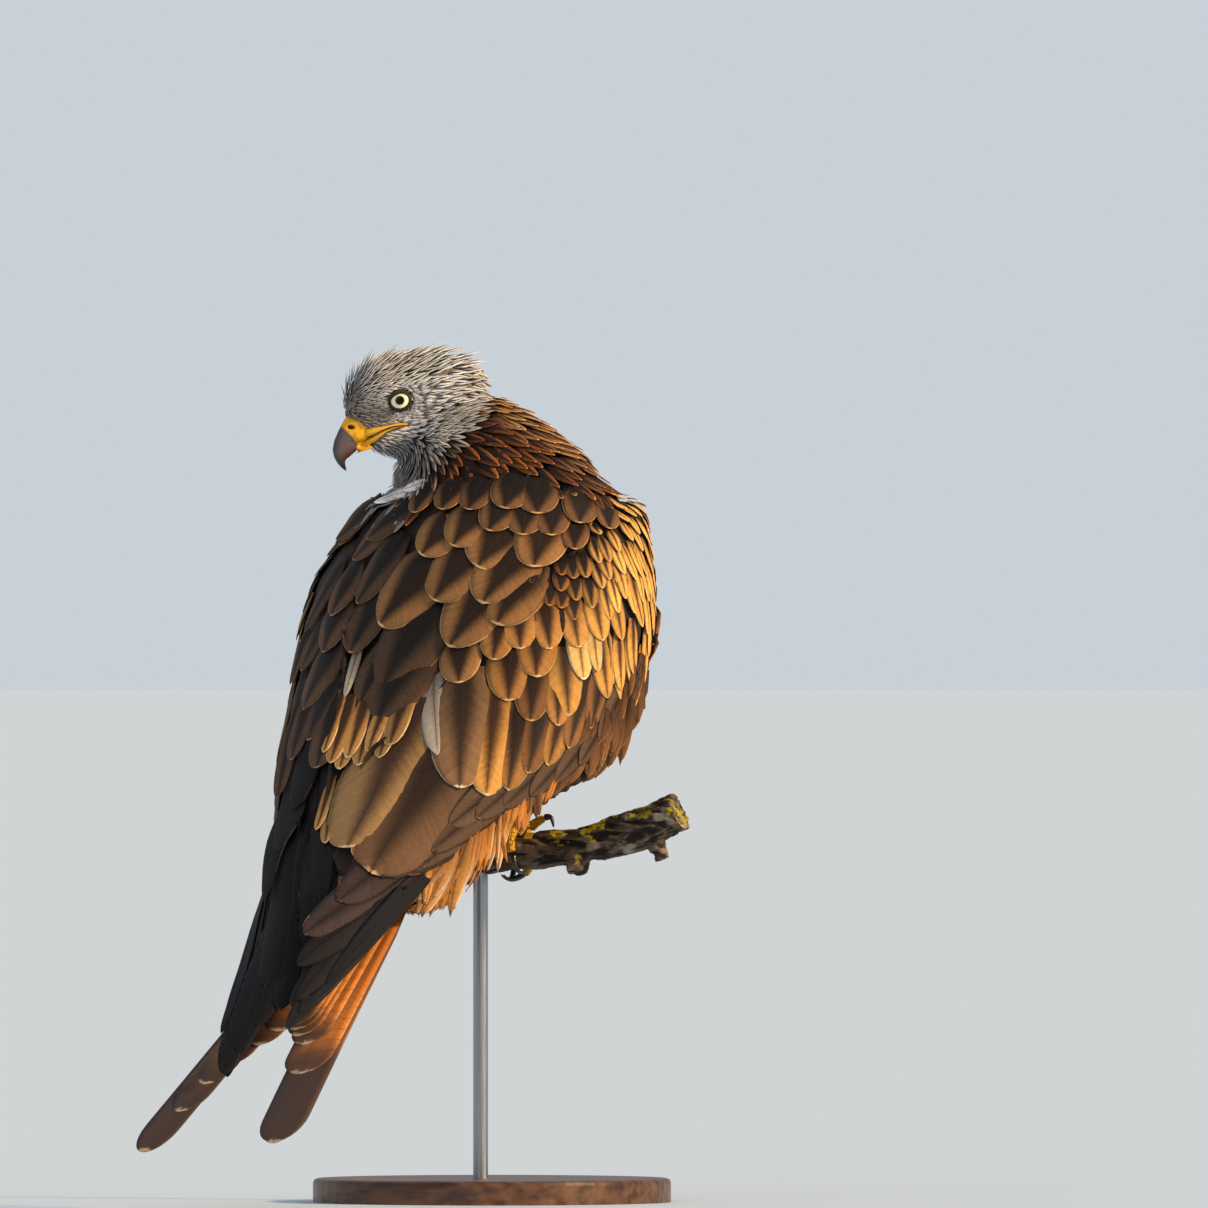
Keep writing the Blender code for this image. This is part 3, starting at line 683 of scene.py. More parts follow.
contour_finish = feather_finish("contour_feathers", 0.5, 0.07, 0.10)
flight_finish = feather_finish("flight_feathers", 0.8, 0.05, 0.14, 0.0, root=0.4)
hackle_finish = feather_finish("head_feathers", 0.3, 0.03, 0.05, 0.12, 0.16, 0.12, 0.3)
neck_finish = feather_finish("neck_feathers", 0.3, 0.03, 0.06, 0.0, 0.16, 0.3)


def place(piece, finish_made, slot, *nodes):
    piece.data.materials.clear()
    piece.data.materials.append(finish_made)
    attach(piece, "root")
    if nodes:
        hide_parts(*nodes)
    return piece


# How the feathers lie. On the head they run back from the bill, on the neck they spread away from
# the head, and on the body and wings they run down and back, as the photograph shows.


def flow_at(points):
    """The way the coat runs at each place."""
    pixels = pixel_of(points)
    lean = np.interp(pixels[:, 0], (300, 380, 460, 500, 540, 580, 640), (16, 24, 30, 22, 9, 0, -8))
    lean = np.radians(lean)
    body = -UP * np.cos(lean)[:, None] - view_right * np.sin(lean)[:, None]
    front = smooth_step(30, -40, points[:, 1] - np.interp(points[:, 2], (200, 300, 480), (110, 40, 0)))
    breast = np.stack([np.zeros(len(points)), np.full(len(points), 0.1), -np.ones(len(points))], axis=1)
    body = unit(mix(body, breast, front))
    local = in_head(points)
    head = unit(-head_ahead * 1.0 - UP * 0.12)
    out = unit(points - from_head(8, 0, 6))
    neck_share = np.maximum(smooth_step(-8, -52, local[:, 0]), smooth_step(-14, -42, local[:, 2]))
    near = mix(np.broadcast_to(head, points.shape), out, neck_share)
    below = smooth_step(505, 465, points[:, 2])
    return unit(mix(near, body, below))


def scatter(mask, across, along, flow=flow_at, tries=9):
    """Places for feathers over the masked triangles, with their own spacing across and along the flow."""
    chosen = np.flatnonzero(mask)
    centres = form_centres[chosen]
    wide, tall = across(centres), along(centres)
    density = form_areas[chosen] / (wide * tall)
    expected = int(density.sum() * tries)
    picks = dice.choice(len(chosen), expected, p=density / density.sum())
    weights = dice.dirichlet((1, 1, 1), expected)
    triangles = form_points[form_triangles[chosen[picks]]]
    points = np.einsum("ij,ijk->ik", weights, triangles)
    normals = form_normals[chosen[picks]]
    flows = flow(points)
    flows = unit(flows - normals * np.sum(flows * normals, axis=1, keepdims=True))
    wide, tall = across(points), along(points)
    cell = max(wide.max(), tall.max())
    cells = {}
    kept = []
    keys = np.floor(points / cell).astype(int)
    neighbours = [(a, b, c) for a in (-1, 0, 1) for b in (-1, 0, 1) for c in (-1, 0, 1)]
    for k in range(expected):
        x, y, z = keys[k]
        near = []
        for a, b, c in neighbours:
            near += cells.get((x + a, y + b, z + c), ())
        if near:
            gap = points[near] - points[k]
            forward = gap @ flows[k]
            sideways = np.sum(gap * gap, axis=1) - forward * forward
            if np.min(forward * forward / tall[k] ** 2 + sideways / wide[k] ** 2) < 1:
                continue
        cells.setdefault((x, y, z), []).append(k)
        kept.append(k)
    return points[kept], flows[kept]


def jitter(colours, amount):
    return np.clip(colours * (1 + amount * (dice.random((len(colours), 1)) - 0.5)), 0, 1)


# The bill, finer than the solid under it, with the cere, the nostrils and the gape. The yellow lips
# of the gape run back over the cheek to below the eye.

BILL_VOXEL = 0.5 * MM
BILL_SMOOTHING = 5
LIP_BEADS = 60
LIP_SINK = 0.45
CERE_LINE = ((-30, 40), (-20, 40.5), (-15.2, 41.2), (-9.6, 43), (-4.3, 45.4), (-0.5, 46.2), (4, 46.5))
NOSTRIL = (41.1, -3.6)
# Along each lip in the photograph's pixels, with the distance from the head's middle and the radius.
UPPER_LIP = ((358, 436, 8, 3.6), (367, 433.5, 11, 3.0), (374, 431, 13, 2.4), (380, 429.2, 15, 1.6),
             (386, 427.6, 17, 1.1), (394, 425.6, 19, 0.9), (401, 424.6, 20.5, 0.85), (408, 424.4, 22, 0.7))
LOWER_LIP = ((357, 447.4, 6, 2.3), (362, 446, 8, 2.6), (368, 443.2, 10.5, 2.5), (374, 439.8, 12.5, 2.1),
             (380, 435.6, 14.5, 1.4), (386, 431.8, 16.5, 0.9), (394, 428.4, 19, 0.7), (401, 427, 20.5, 0.6),
             (407, 426.6, 22, 0.5))


def in_profile(x, y, left):
    """A pixel of the head's left profile, as the distances ahead and above in that plane."""
    axes = np.array([[head_ahead @ view_right, head_above @ view_right], [head_ahead[2], head_above[2]]])
    base = head_middle + head_left * left
    across = (x - VIEW_ORIGIN[0]) * PIXEL - base @ view_right
    return np.linalg.solve(axes, (across, (VIEW_ORIGIN[1] - y) * PIXEL - base[2]))


face_points, face_triangles = [form_points], [form_triangles]
for node in ("bill_upper", "bill_lower"):
    points, triangles = mesh_arrays(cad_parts[node].data)
    face_triangles.append(triangles + sum(len(some) for some in face_points))
    face_points.append(points)
face = tree_over(np.concatenate(face_points), np.concatenate(face_triangles))


def lip_beads(table):
    """Round beads close together along both sides' lips, sunk a little into the face."""
    beads = []
    for side in (1, -1):
        line = [(*in_profile(x, y, left), radius) for x, y, left, radius in table]
        at = np.linspace(0, len(line) - 1, LIP_BEADS)
        columns = [np.interp(at, range(len(line)), column) for column in zip(*line)]
        for a, u, radius in zip(*columns):
            out = head_left * side
            hit = face.ray_cast(Vector(from_head(a, side * 60, u)), Vector(-out))[0]
            if hit is not None:
                beads.append((np.array(hit) - out * radius * LIP_SINK, radius))
    return beads


def moulded_bill(name, node, table):
    """The bill's solid and its lips' beads as one surface."""
    bm = bmesh.new()
    bm.from_mesh(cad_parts[node].data)
    for centre, radius in lip_beads(table):
        spot = Matrix.Translation(Vector(centre) * MM)
        bmesh.ops.create_icosphere(bm, subdivisions=2, radius=radius * MM, matrix=spot)
    return smoothed(piece_from(bm, name, "_solids"), BILL_VOXEL, BILL_SMOOTHING)


def repaint(piece, move, colour):
    """Moves a fine piece's points and paints them, both read from their places."""
    points, _ = mesh_arrays(piece.data)
    set_points(piece.data, points + move(points))
    store_colour(piece.data, "skin_tone", colour(points))
    piece.data.shade_smooth()
    piece.data.update()


def nostril_depth(local):
    """1 in the middle of either nostril, an oval that leans back."""
    ahead, above = local[:, 0] - NOSTRIL[0], local[:, 2] - NOSTRIL[1]
    along, over = ahead * 0.92 + above * 0.38, above * 0.92 - ahead * 0.38
    return smooth_step(1.35, 0.55, np.sqrt((along / 2.3) ** 2 + (over / 1.5) ** 2))


def cere_share(local):
    heights, edges = zip(*CERE_LINE)
    return smooth_step(0.5, -0.5, local[:, 0] - np.interp(local[:, 2], heights, edges))


def shape_upper(points):
    local = in_head(points)
    out = np.sign(local[:, 1])[:, None] * head_left
    swollen = cere_share(local) * smooth_step(30, 36, local[:, 0])
    away = unit(local * (0, 1, 0.6) + (0, 0, 4)) @ np.stack([head_ahead, head_left, head_above])
    return away * (0.45 * swollen)[:, None] - out * (2.4 * nostril_depth(local))[:, None]


def paint_upper(points):
    local = in_head(points)
    ridge_line = smooth_step(5.5, 1.0, np.abs(local[:, 1]))
    tipward = smooth_step(-17, -29, local[:, 2])
    horn = mix(paint("625450"), paint("3c3438"), np.maximum(ridge_line, smooth_step(-4, 4, local[:, 2])))
    inner_hook = smooth_step(-14, -22, local[:, 2]) * smooth_step(54.5, 52.5, local[:, 0])
    horn = mix(horn, paint("5c3828"), inner_hook)
    horn = mix(horn, paint("221a1c"), tipward)
    yellow = mix(paint("f0aa06"), paint("e08c08"), smooth_step(-2, -14, local[:, 2]) * ridge_line)
    yellow = mix(yellow, paint("f2b81a"), smooth_step(36, 28, local[:, 0]))
    both = mix(mix(horn, yellow, cere_share(local)), paint("7a3c0c"), mouth_share(local) * 0.8)
    # Painted shade: the nostril's pit is painted near black.
    return mix(both, paint("140a06"), smooth_step(0.25, 0.8, nostril_depth(local)))


def paint_lower(points):
    local = in_head(points)
    yellow = mix(paint("f0b010"), paint("d98a18"), smooth_step(20, 8, local[:, 0]))
    yellow = mix(yellow, paint("7a3c0c"), mouth_share(local) * 0.7)
    return mix(yellow, paint("6a5248"), smooth_step(40, 42.5, local[:, 0]))


MOUTH = ((357.5, 442.5, 8), (367.5, 440, 11), (376, 435, 13), (386, 430, 17), (393.8, 427.2, 19),
         (406, 427, 22))
mouth_line = np.array([in_profile(*row) for row in MOUTH])[::-1]


def mouth_share(local):
    """1 on the dark line where the lips meet."""
    gap = local[:, 2] - np.interp(local[:, 0], mouth_line[:, 0], mouth_line[:, 1])
    return smooth_step(0.9, 0.35, np.abs(gap)) * smooth_step(43, 41, local[:, 0])


def shape_lower(points):
    """Draws the mandible's underside up to the line it has in the photograph."""
    local = in_head(points)
    floor = np.interp(local[:, 0], (20, 34, 42), (-20.0, -21.8, -21.0))
    return np.maximum(floor - local[:, 2], 0)[:, None] * 0.85 * head_above


def speckled(tree, shader, grain, contrast, darkest):
    """Gives a shader its piece's own paint, darker and lighter in fine specks."""
    scaled = add(tree, "VectorMath", operation="SCALE")
    join(tree, stored(tree, "skin_tone")["Color"], scaled.inputs[0])
    join(tree, reckon(tree, "MULTIPLY_ADD", grain, contrast, darkest), scaled.inputs["Scale"])
    join(tree, scaled.outputs[0], shader.inputs["Base Color"])


painted, tree, shader = finish("painted_skin", 0.5, Specular_IOR_Level=0.45)
speckled(tree, shader, noise(tree, 900, 5.0), 0.5, 0.75)
join(tree, reckon(tree, "MULTIPLY_ADD", noise(tree, 300, 3.0), 0.3, 0.27), shader.inputs["Roughness"])
raise_surface(tree, shader, noise(tree, 1400, 4.0), 0.16)

upper_bill = moulded_bill("fine_bill_upper", "bill_upper", UPPER_LIP)
repaint(upper_bill, shape_upper, paint_upper)
place(upper_bill, painted, "bill_horn", "bill_upper")
lower_bill = moulded_bill("fine_bill_lower", "bill_lower", LOWER_LIP)
repaint(lower_bill, shape_lower, paint_lower)
place(lower_bill, painted, "bill_yellow", "bill_lower")

# The eyes look out and a little forwards. Each is a ball with a pale iris and a black pupil, wet on
# the outside. The lids are thick dark rims that hug the ball and run out on to the face.

BALL = 8.0
IRIS = 6.3
PUPIL = 3.0
# Round the lids' opening from the front corner over the top: degrees, inner and outer radius.
LIDS = ((-10, 6.8, 11.4), (15, 5.6, 9.6), (40, 4.6, 8.2), (63, 4.3, 7.4), (95, 4.6, 7.3),
        (124, 5.3, 7.8), (157, 6.3, 8.2), (183, 6.3, 7.9), (223, 5.6, 7.4), (250, 5.5, 7.2),
        (273, 5.6, 7.3), (309, 6.1, 8.0), (334, 6.8, 9.6), (350, 6.8, 11.4))
LID_TURNS = 72
# Across the rim: past the opening's edge, the ball's radius that it clears, and its height over that.
RIM = ((-0.5, 8.0, -0.4), (-0.1, 8.3, 0.15), (0.35, 8.7, 0.4), (0.8, 8.9, 0.35), (1.3, 8.9, 0.0))
RIM_WIDTH = 1.3
LID_CLEARS = 8.7


def gaze_axes(label):
    sign = 1 if label == "left" else -1
    gaze = unit(head_left * sign + head_level * 0.22)
    forward = unit(head_level - gaze * (head_level @ gaze))
    return gaze, forward, np.cross(gaze, forward) * -sign


eye_finish, tree, shader = finish(
    "eye_surface", 0.4, Specular_IOR_Level=0.0, Coat_Weight=0.7, Coat_Roughness=0.02, Coat_IOR=1.38)
join(tree, stored(tree, "skin_tone")["Color"], shader.inputs["Base Color"])
for label in EYE:
    gaze, forward, over = gaze_axes(label)
    bm = bmesh.new()
    turned = Matrix(np.stack([forward, over, gaze], axis=1).tolist()).to_4x4()
    turned.translation = Vector(EYE[label]) * MM
    bmesh.ops.create_uvsphere(bm, u_segments=64, v_segments=96, radius=BALL * MM, matrix=turned)
    ball = piece_from(bm, "fine_eye_" + label)

    def eye_tone(points, centre=EYE[label], gaze=gaze):
        off = points - centre
        depth = off @ gaze
        ring = np.linalg.norm(off - depth[:, None] * gaze, axis=1) + 20 * (depth < 0)
        iris = mix(paint("d6cf96"), paint("fbf6cc"), smooth_step(PUPIL, PUPIL + 1.4, ring))
        iris = mix(iris, paint("a89a5c"), smooth_step(IRIS - 1.0, IRIS - 0.2, ring))
        iris = mix(iris, paint("1a120c"), smooth_step(IRIS - 0.3, IRIS + 0.2, ring))
        return mix(paint("020202"), iris, smooth_step(PUPIL - 0.15, PUPIL + 0.15, ring))

    repaint(ball, lambda points: points * 0, eye_tone)
    place(ball, eye_finish, "eye", "eye_" + label)

    degrees, inner, outer = (np.array(column) for column in zip(*LIDS))
    bm = bmesh.new()
    rings = []
    for k in range(LID_TURNS):
        angle = 360 * k / LID_TURNS
        near = np.interp(angle, degrees % 360, inner, period=360)
        far = np.interp(angle, degrees % 360, outer, period=360)
        out = forward * math.cos(math.radians(angle)) + over * math.sin(math.radians(angle))
        brow = max(0.0, math.sin(math.radians(angle + 4)))
        line = []
        for step, ball_radius, rise in RIM:
            radius = min(near + step, 7.95)
            high = math.sqrt(ball_radius**2 - radius**2) + rise + 0.5 * brow * (step > 0)
            line.append(EYE[label] + out * radius + gaze * high)
        crest = line[-1]
        for share in (0.3, 0.6, 0.85, 1.0, 1.2):
            radius = near + RIM_WIDTH + (far - near - RIM_WIDTH) * share
            spot = EYE[label] + out * radius
            hit = form.ray_cast(Vector(spot + gaze * 20), Vector(-gaze))[0]
            ground = np.array(hit) if hit is not None else spot + gaze * 3
            raised = 0.9 * (1 - share) + 1.1 * brow * math.sin(math.pi * min(share, 1))
            raised -= 0.5 * (share > 1)
            over_face = mix(crest, ground + gaze * raised, smooth_step(0, 0.7, share))
            over_ball = math.sqrt(max(LID_CLEARS**2 - radius**2, 0)) - (over_face - EYE[label]) @ gaze
            line.append(over_face + gaze * max(0.0, over_ball))
        rings.append([bm.verts.new(Vector(p) * MM) for p in line])
    for ring, after in zip(rings, rings[1:] + rings[:1]):
        for j in range(len(ring) - 1):
            bm.faces.new((ring[j], ring[j + 1], after[j + 1], after[j]))
    bmesh.ops.recalc_face_normals(bm, faces=bm.faces)
    lids = piece_from(bm, "lids_" + label)
    change = lids.modifiers.new("thickness", "SOLIDIFY")
    change.thickness = 0.5 * MM
    change.offset = -1
    change = lids.modifiers.new("smooth", "SUBSURF")
    change.levels = change.render_levels = 1

    def lid_tone(points, centre=EYE[label], gaze=gaze, forward=forward, over=over):
        off = points - centre
        ahead, above = off @ forward, off @ over
        ring = np.hypot(ahead, above)
        near = np.interp(np.degrees(np.arctan2(above, ahead)), degrees % 360, inner, period=360)
        past = ring - near
        tone = mix(paint("120c0a"), paint("3a2a20"), smooth_step(0.5, 1.5, past))
        tone = mix(tone, paint("8a8078"), smooth_step(1.4, 2.6, past) * smooth_step(4, -2, above) * 0.8)
        return mix(tone, paint("3c332c"), smooth_step(0, 4, above) * smooth_step(2.0, 3.4, past))

    repaint(lids, lambda points: points * 0, lid_tone)
    place(lids, painted, "grey_feathers")

# The head's feathers are short at the bill and grow longer to the nape, where they stand up. Each is
# pale grey with a thin dark shaft streak. The lids and the lips have none.

CERE_EDGE = 36.5
NAPE_END = -56

beads = lip_beads(UPPER_LIP) + lip_beads(LOWER_LIP)
lip_line = np.array([centre for centre, _ in beads])
lip_reach = np.array([radius for _, radius in beads])


def bare(points):
    """True on the lips, the lids and the cere, where no feather starts."""
    gaps = np.linalg.norm(points[:, None] - lip_line[None], axis=2) - lip_reach
    found = gaps.min(axis=1) < 0.5
    for label in EYE:
        gaze, forward, over = gaze_axes(label)
        off = points - EYE[label]
        ahead, above = off @ forward, off @ over
        far = np.interp(np.degrees(np.arctan2(above, ahead)), degrees % 360, outer, period=360)
        found |= (np.hypot(ahead, above) < far - 1.2) & (off @ gaze > 0)
    local = in_head(points)
    return found | ((local[:, 0] > CERE_EDGE) & (local[:, 2] < 2.5))


on_head = np.flatnonzero(part["head"])
head_mask = np.zeros(len(form_centres), bool)
head_mask[on_head] = ~bare(form_centres[on_head])


def head_size(points):
    """0 at the face and 1 at the nape."""
    return smooth_step(26, -50, in_head(points)[:, 0])


def face_share(points):
    """1 on the small feathers round the eye, the lores and the chin."""
    gaps = [np.linalg.norm(points - EYE[label], axis=1) for label in EYE]
    return smooth_step(22, 11, np.minimum(*gaps)) * smooth_step(24, 8, in_head(points)[:, 2])


def head_gap(points):
    """The feathers stand closer round the eye and on the nape."""
    local = in_head(points)
    hind = smooth_step(-30, -50, local[:, 0]) * smooth_step(-24, 0, local[:, 2])
    return (1 - 0.3 * face_share(points)) * (1 - 0.32 * hind)


places, flows = scatter(head_mask, lambda p: (1.8 + 2.2 * head_size(p)) * head_gap(p),
                        lambda p: (2.9 + 4.8 * head_size(p)) * head_gap(p), tries=16)
feathered = ~bare(places) & (in_head(places)[:, 0] > NAPE_END)
places, flows = places[feathered], flows[feathered]
grown, face_near, local = head_size(places), face_share(places), in_head(places)
ahead, above, chance = local[:, 0], local[:, 2], dice.random(len(places))
crown = smooth_step(4, 18, above) * smooth_step(36, 20, ahead)
fore = smooth_step(14, 24, ahead) * smooth_step(8, 18, above)
nape = smooth_step(-26, -50, ahead) * smooth_step(-18, 4, above)
throat = smooth_step(-14, -26, above)
lores = smooth_step(14, 21, ahead) * smooth_step(14, 4, np.abs(above + 2))
cream = np.maximum(crown * smooth_step(26, 12, ahead), nape)
grey = mix(paint("efebe6"), paint("fff6e6"), cream)
grey = mix(grey, paint("a8a4a2"), throat * 0.9)
# The forehead is darker grey, partly its slate tone and partly painted shade away from the key light.
grey = mix(grey, paint("8c8884"), 0.85 * smooth_step(24, 36, ahead) * smooth_step(-4, 8, above))
grey = mix(grey, paint("787062"), lores * 0.8)
eye_corner = smooth_step(9, 4, np.hypot(ahead - 17, above - 2))
grey = mix(grey, paint("565046"), eye_corner * 0.8)
grey = mix(grey, paint("e8c89a"), smooth_step(-42, -60, ahead) * 0.7)
grey = mix(grey, paint("fffdf8"), face_near * smooth_step(-2, 6, above) * 0.8)
white_tuft = smooth_step(6, 2, np.abs(above + 18)) * smooth_step(14, 4, np.abs(ahead - 8))
grey = mix(grey, paint("f4f0ea"), white_tuft * 0.9)
streaks = mix(paint("231b16"), paint("3a3430"), throat)
streaks = mix(streaks, paint("2e1a0e"), smooth_step(-40, -60, ahead))
lengths = (6.5 + 8.5 * grown + 6.0 * np.maximum(crown, fore)) * (1 - 0.5 * face_near)
lengths *= (0.75 + 0.5 * chance) * (1 + 0.5 * throat * grown) * (1 - 0.28 * nape)
widths = (3.1 + 2.5 * grown + 0.6 * crown) * (1 - 0.25 * face_near) * (1 - 0.3 * throat)
head_coat = make_vanes(
    "head_feathers", form, places, flows, lengths, widths,
    (streaks, jitter(grey, 0.3), jitter(mix(grey, paint("fff6e6"), 0.5), 0.1)),
    (0.18 + 0.20 * np.maximum(nape, crown) + 0.16 * smooth_step(27, 36, ahead) - 0.3 * white_tuft
     - 0.2 * face_near - 0.1 * lores, 0.12),
    stations=5, root=-1.2, tip=0.7 + 0.5 * grown + 0.4 * chance, tip_start=0.1, tip_power=1.3, camber=0.25,
    thick=0.3, turn=(dice.random(len(places)) - 0.5) * 0.35,
    hang=np.clip(0.25 + crown + nape + fore + 0.3 * throat, 0, 1) * (1 - 0.6 * face_near),
    lift=0.05 + 0.16 * crown * chance + 0.30 * fore * chance + 0.12 * nape * chance + 0.1 * throat * chance,
)
place(head_coat, hackle_finish, "grey_feathers")

# The neck's hackles are narrow and pointed, rufous with dark middles. Each is a vane that lies over
# the ones below it, and the lowest end at the mantle's first row.

NAPE_TOP = 545
PATCH_WHITE = paint("dcd6ce")
to_right = np.where(form_centres[:, :1] > 0, (-1, 1, 1), (1, 1, 1))
wing_bend = pixel_of(form_centres * to_right)[:, 0] > 598
bend_back = wing_bend & (form_centres[:, 2] > 450) & ((form_normals * to_right) @ view_ahead < 0.3)
neck_mask = part["neck"] | (part["trunk"] & (form_centres[:, 2] > 470) & ~wing_bend)


def neck_size(points):
    """0 behind the head and 1 at the shoulders."""
    return smooth_step(44, 72, np.linalg.norm(points - head_middle, axis=1))


def white_patch(points):
    """1 on the white patch that the photograph shows low on the throat's left side."""
    off = pixel_of(points) - (395, 484)
    return smooth_step(1.3, 0.7, np.hypot(off[:, 0] / 13, off[:, 1] / 6))


def profile_pixels(points):
    """Where points show in the photograph once they are brought to the head's left side."""
    local = in_head(points)
    local[:, 1] = np.abs(local[:, 1])
    return pixel_of(head_middle + local @ np.stack([head_ahead, head_left, head_above]))


places, flows = scatter(neck_mask, lambda p: 1.9 + 3.8 * neck_size(p), lambda p: 3.6 + 5.0 * neck_size(p))
seen = pixel_of(places)
tip_seen = pixel_of(places + flows * (12 + 12 * neck_size(places))[:, None])
under_mantle = (seen[:, 1] > 470) & (np.abs(seen[:, 0] - 494) < 66)
under_mantle |= (tip_seen[:, 1] > 486) & (np.abs(tip_seen[:, 0] - 530) < 48)
under_mantle &= onto(form, places)[1] @ view_ahead < -0.2
shown = (places[:, 2] < NAPE_TOP) & ~under_mantle
places, flows = places[shown], flows[shown]
flows[:, 2] = np.minimum(flows[:, 2], 0)
grown, seen = neck_size(places), profile_pixels(places)
GREY_EDGE = ((392, 410, 430, 440, 450, 470, 490), (482, 470, 460, 449, 436, 428, 418))
past = seen[:, 0] - np.interp(seen[:, 1], *GREY_EDGE)
pale = smooth_step(5, -5, past)
throat = smooth_step(434, 458, seen[:, 1])
golden = smooth_step(30, 6, seen[:, 1] - np.interp(seen[:, 0], (480, 520, 560, 600), (394, 410, 442, 480)))
golden *= smooth_step(600, 540, seen[:, 0])
grey_end = smooth_step(-18, -5, past) * pale * (1 - throat)
warm = mix(mix(paint("4c2a12"), paint("6e3c18"), grown), paint("bc8442"), golden)
warm = mix(warm, mix(paint("d6cfc4"), paint("9c9690"), throat), pale)
tips = mix(mix(paint("ae6a2c"), paint("c67e3c"), grown), paint("f4d096"), golden)
tips = mix(tips, mix(paint("f0e6d4"), paint("c4beb6"), throat), pale)
tips = mix(tips, paint("1c120c"), grey_end * 0.85)
dark = mix(paint("150c08"), paint("3c2210"), golden)
dark = mix(dark, mix(paint("2a201a"), paint("3a3430"), throat), pale)
patch = white_patch(places)
lengths = (12 + 12 * grown + 2 * throat * pale) * (0.85 + 0.3 * dice.random(len(places)))
lengths *= 1 - 0.45 * patch
neck_coat = make_vanes(
    "neck_feathers", form, places, flows, lengths, (3.6 + 6.6 * grown) * (1 - 0.3 * throat * pale),
    (mix(dark, PATCH_WHITE, patch), mix(jitter(warm, 0.35), PATCH_WHITE, patch), jitter(tips, 0.25)),
    (0.50 - 0.25 * pale, 0.12 + 0.10 * grown + 0.16 * grey_end), stations=7, columns=2, root=-2.6,
    tip=1.4 + 1.2 * dice.random(len(places)), tip_start=0.3, tip_power=1.6, camber=0.22, thick=0.4,
    roll=(dice.random(len(places)) - 0.5) * 0.12, hang=0.2 * pale, lift=0.12,
)
place(neck_coat, neck_finish, "rufous_feathers")

# The breast, flanks and belly are rufous with thin black shaft streaks, and paler under the tail.
# The loose feathers of the thighs and vent hang lower and are frayed.

front_mask = part["trunk"] & ((form_centres[:, 2] <= 478) | wing_bend) & ~bend_back
front_mask |= part["thigh_left"] | part["thigh_right"]
front_mask &= (form_normals[:, 1] < 0.25) | (form_centres[:, 2] < 255)
seen = pixel_of(form_centres)
plumed = (form_normals @ view_ahead < -0.05) & (seen[:, 1] > 770) & (seen[:, 1] < 885)
front_mask &= ~(plumed & ((seen[:, 0] < 475) | ((seen[:, 0] > 500) & (seen[:, 0] < 600))))


def breast_size(points):
    return smooth_step(480, 380, points[:, 2])


low_mask = front_mask & (form_centres[:, 2] < 305)
for name, mask, spacing, tip_shape in (("body_feathers", front_mask & ~low_mask, 1.0, (0.4, 1.9)),
                                       ("belly_feathers", low_mask, 0.62, (0.15, 1.4))):
    places, flows = scatter(mask, lambda p: spacing * (7.5 + 3.0 * breast_size(p)),
                            lambda p: spacing * (10.0 + 4.0 * breast_size(p)))
    grown = breast_size(places)
    low = smooth_step(340, 240, places[:, 2])
    warm = mix(paint("9c5a2a"), paint("c4803c"), low)
    lengths = (25 + 9 * grown - 3 * low) * (0.88 + 0.24 * dice.random(len(places)))
    seen = pixel_of(places)
    # Painted shadow: the flank's feathers under the wing's hem are darkened toward dark brown.
    shaded = smooth_step(560, 585, seen[:, 0]) * (onto(form, places)[1] @ view_ahead < 0.1)
    shaded *= smooth_step(690, 715, seen[:, 1]) * smooth_step(800, 780, seen[:, 1])
    warm = mix(warm, paint("5e3a20"), 0.85 * shaded)
    streaks = mix(paint("20120c"), paint("7a4822"), low)
    edges = mix(warm, paint("e8b47c"), 0.5)
    coat = make_vanes(
        name, form, places, flows, lengths, (12 + 4.5 * grown) * spacing,
        (streaks, jitter(warm, 0.3), jitter(edges, 0.2)), (0.14 + 0.08 * (1 - low), 0.14), stations=7,
        columns=4, root=-3.6, tip=1.4 + 1.6 * low * dice.random(len(places)), tip_start=tip_shape[0],
        tip_power=tip_shape[1], camber=0.16, thick=0.4, fray=0.06,
        roll=(dice.random(len(places)) - 0.5) * 0.10,
    )
    place(coat, contour_finish, "rufous_feathers")

# The big scapulars and wing coverts are placed one by one, as the photograph shows them. Each row is
# the tip's pixel, the length and width in pixels, the lean to the left in degrees, and the paint.

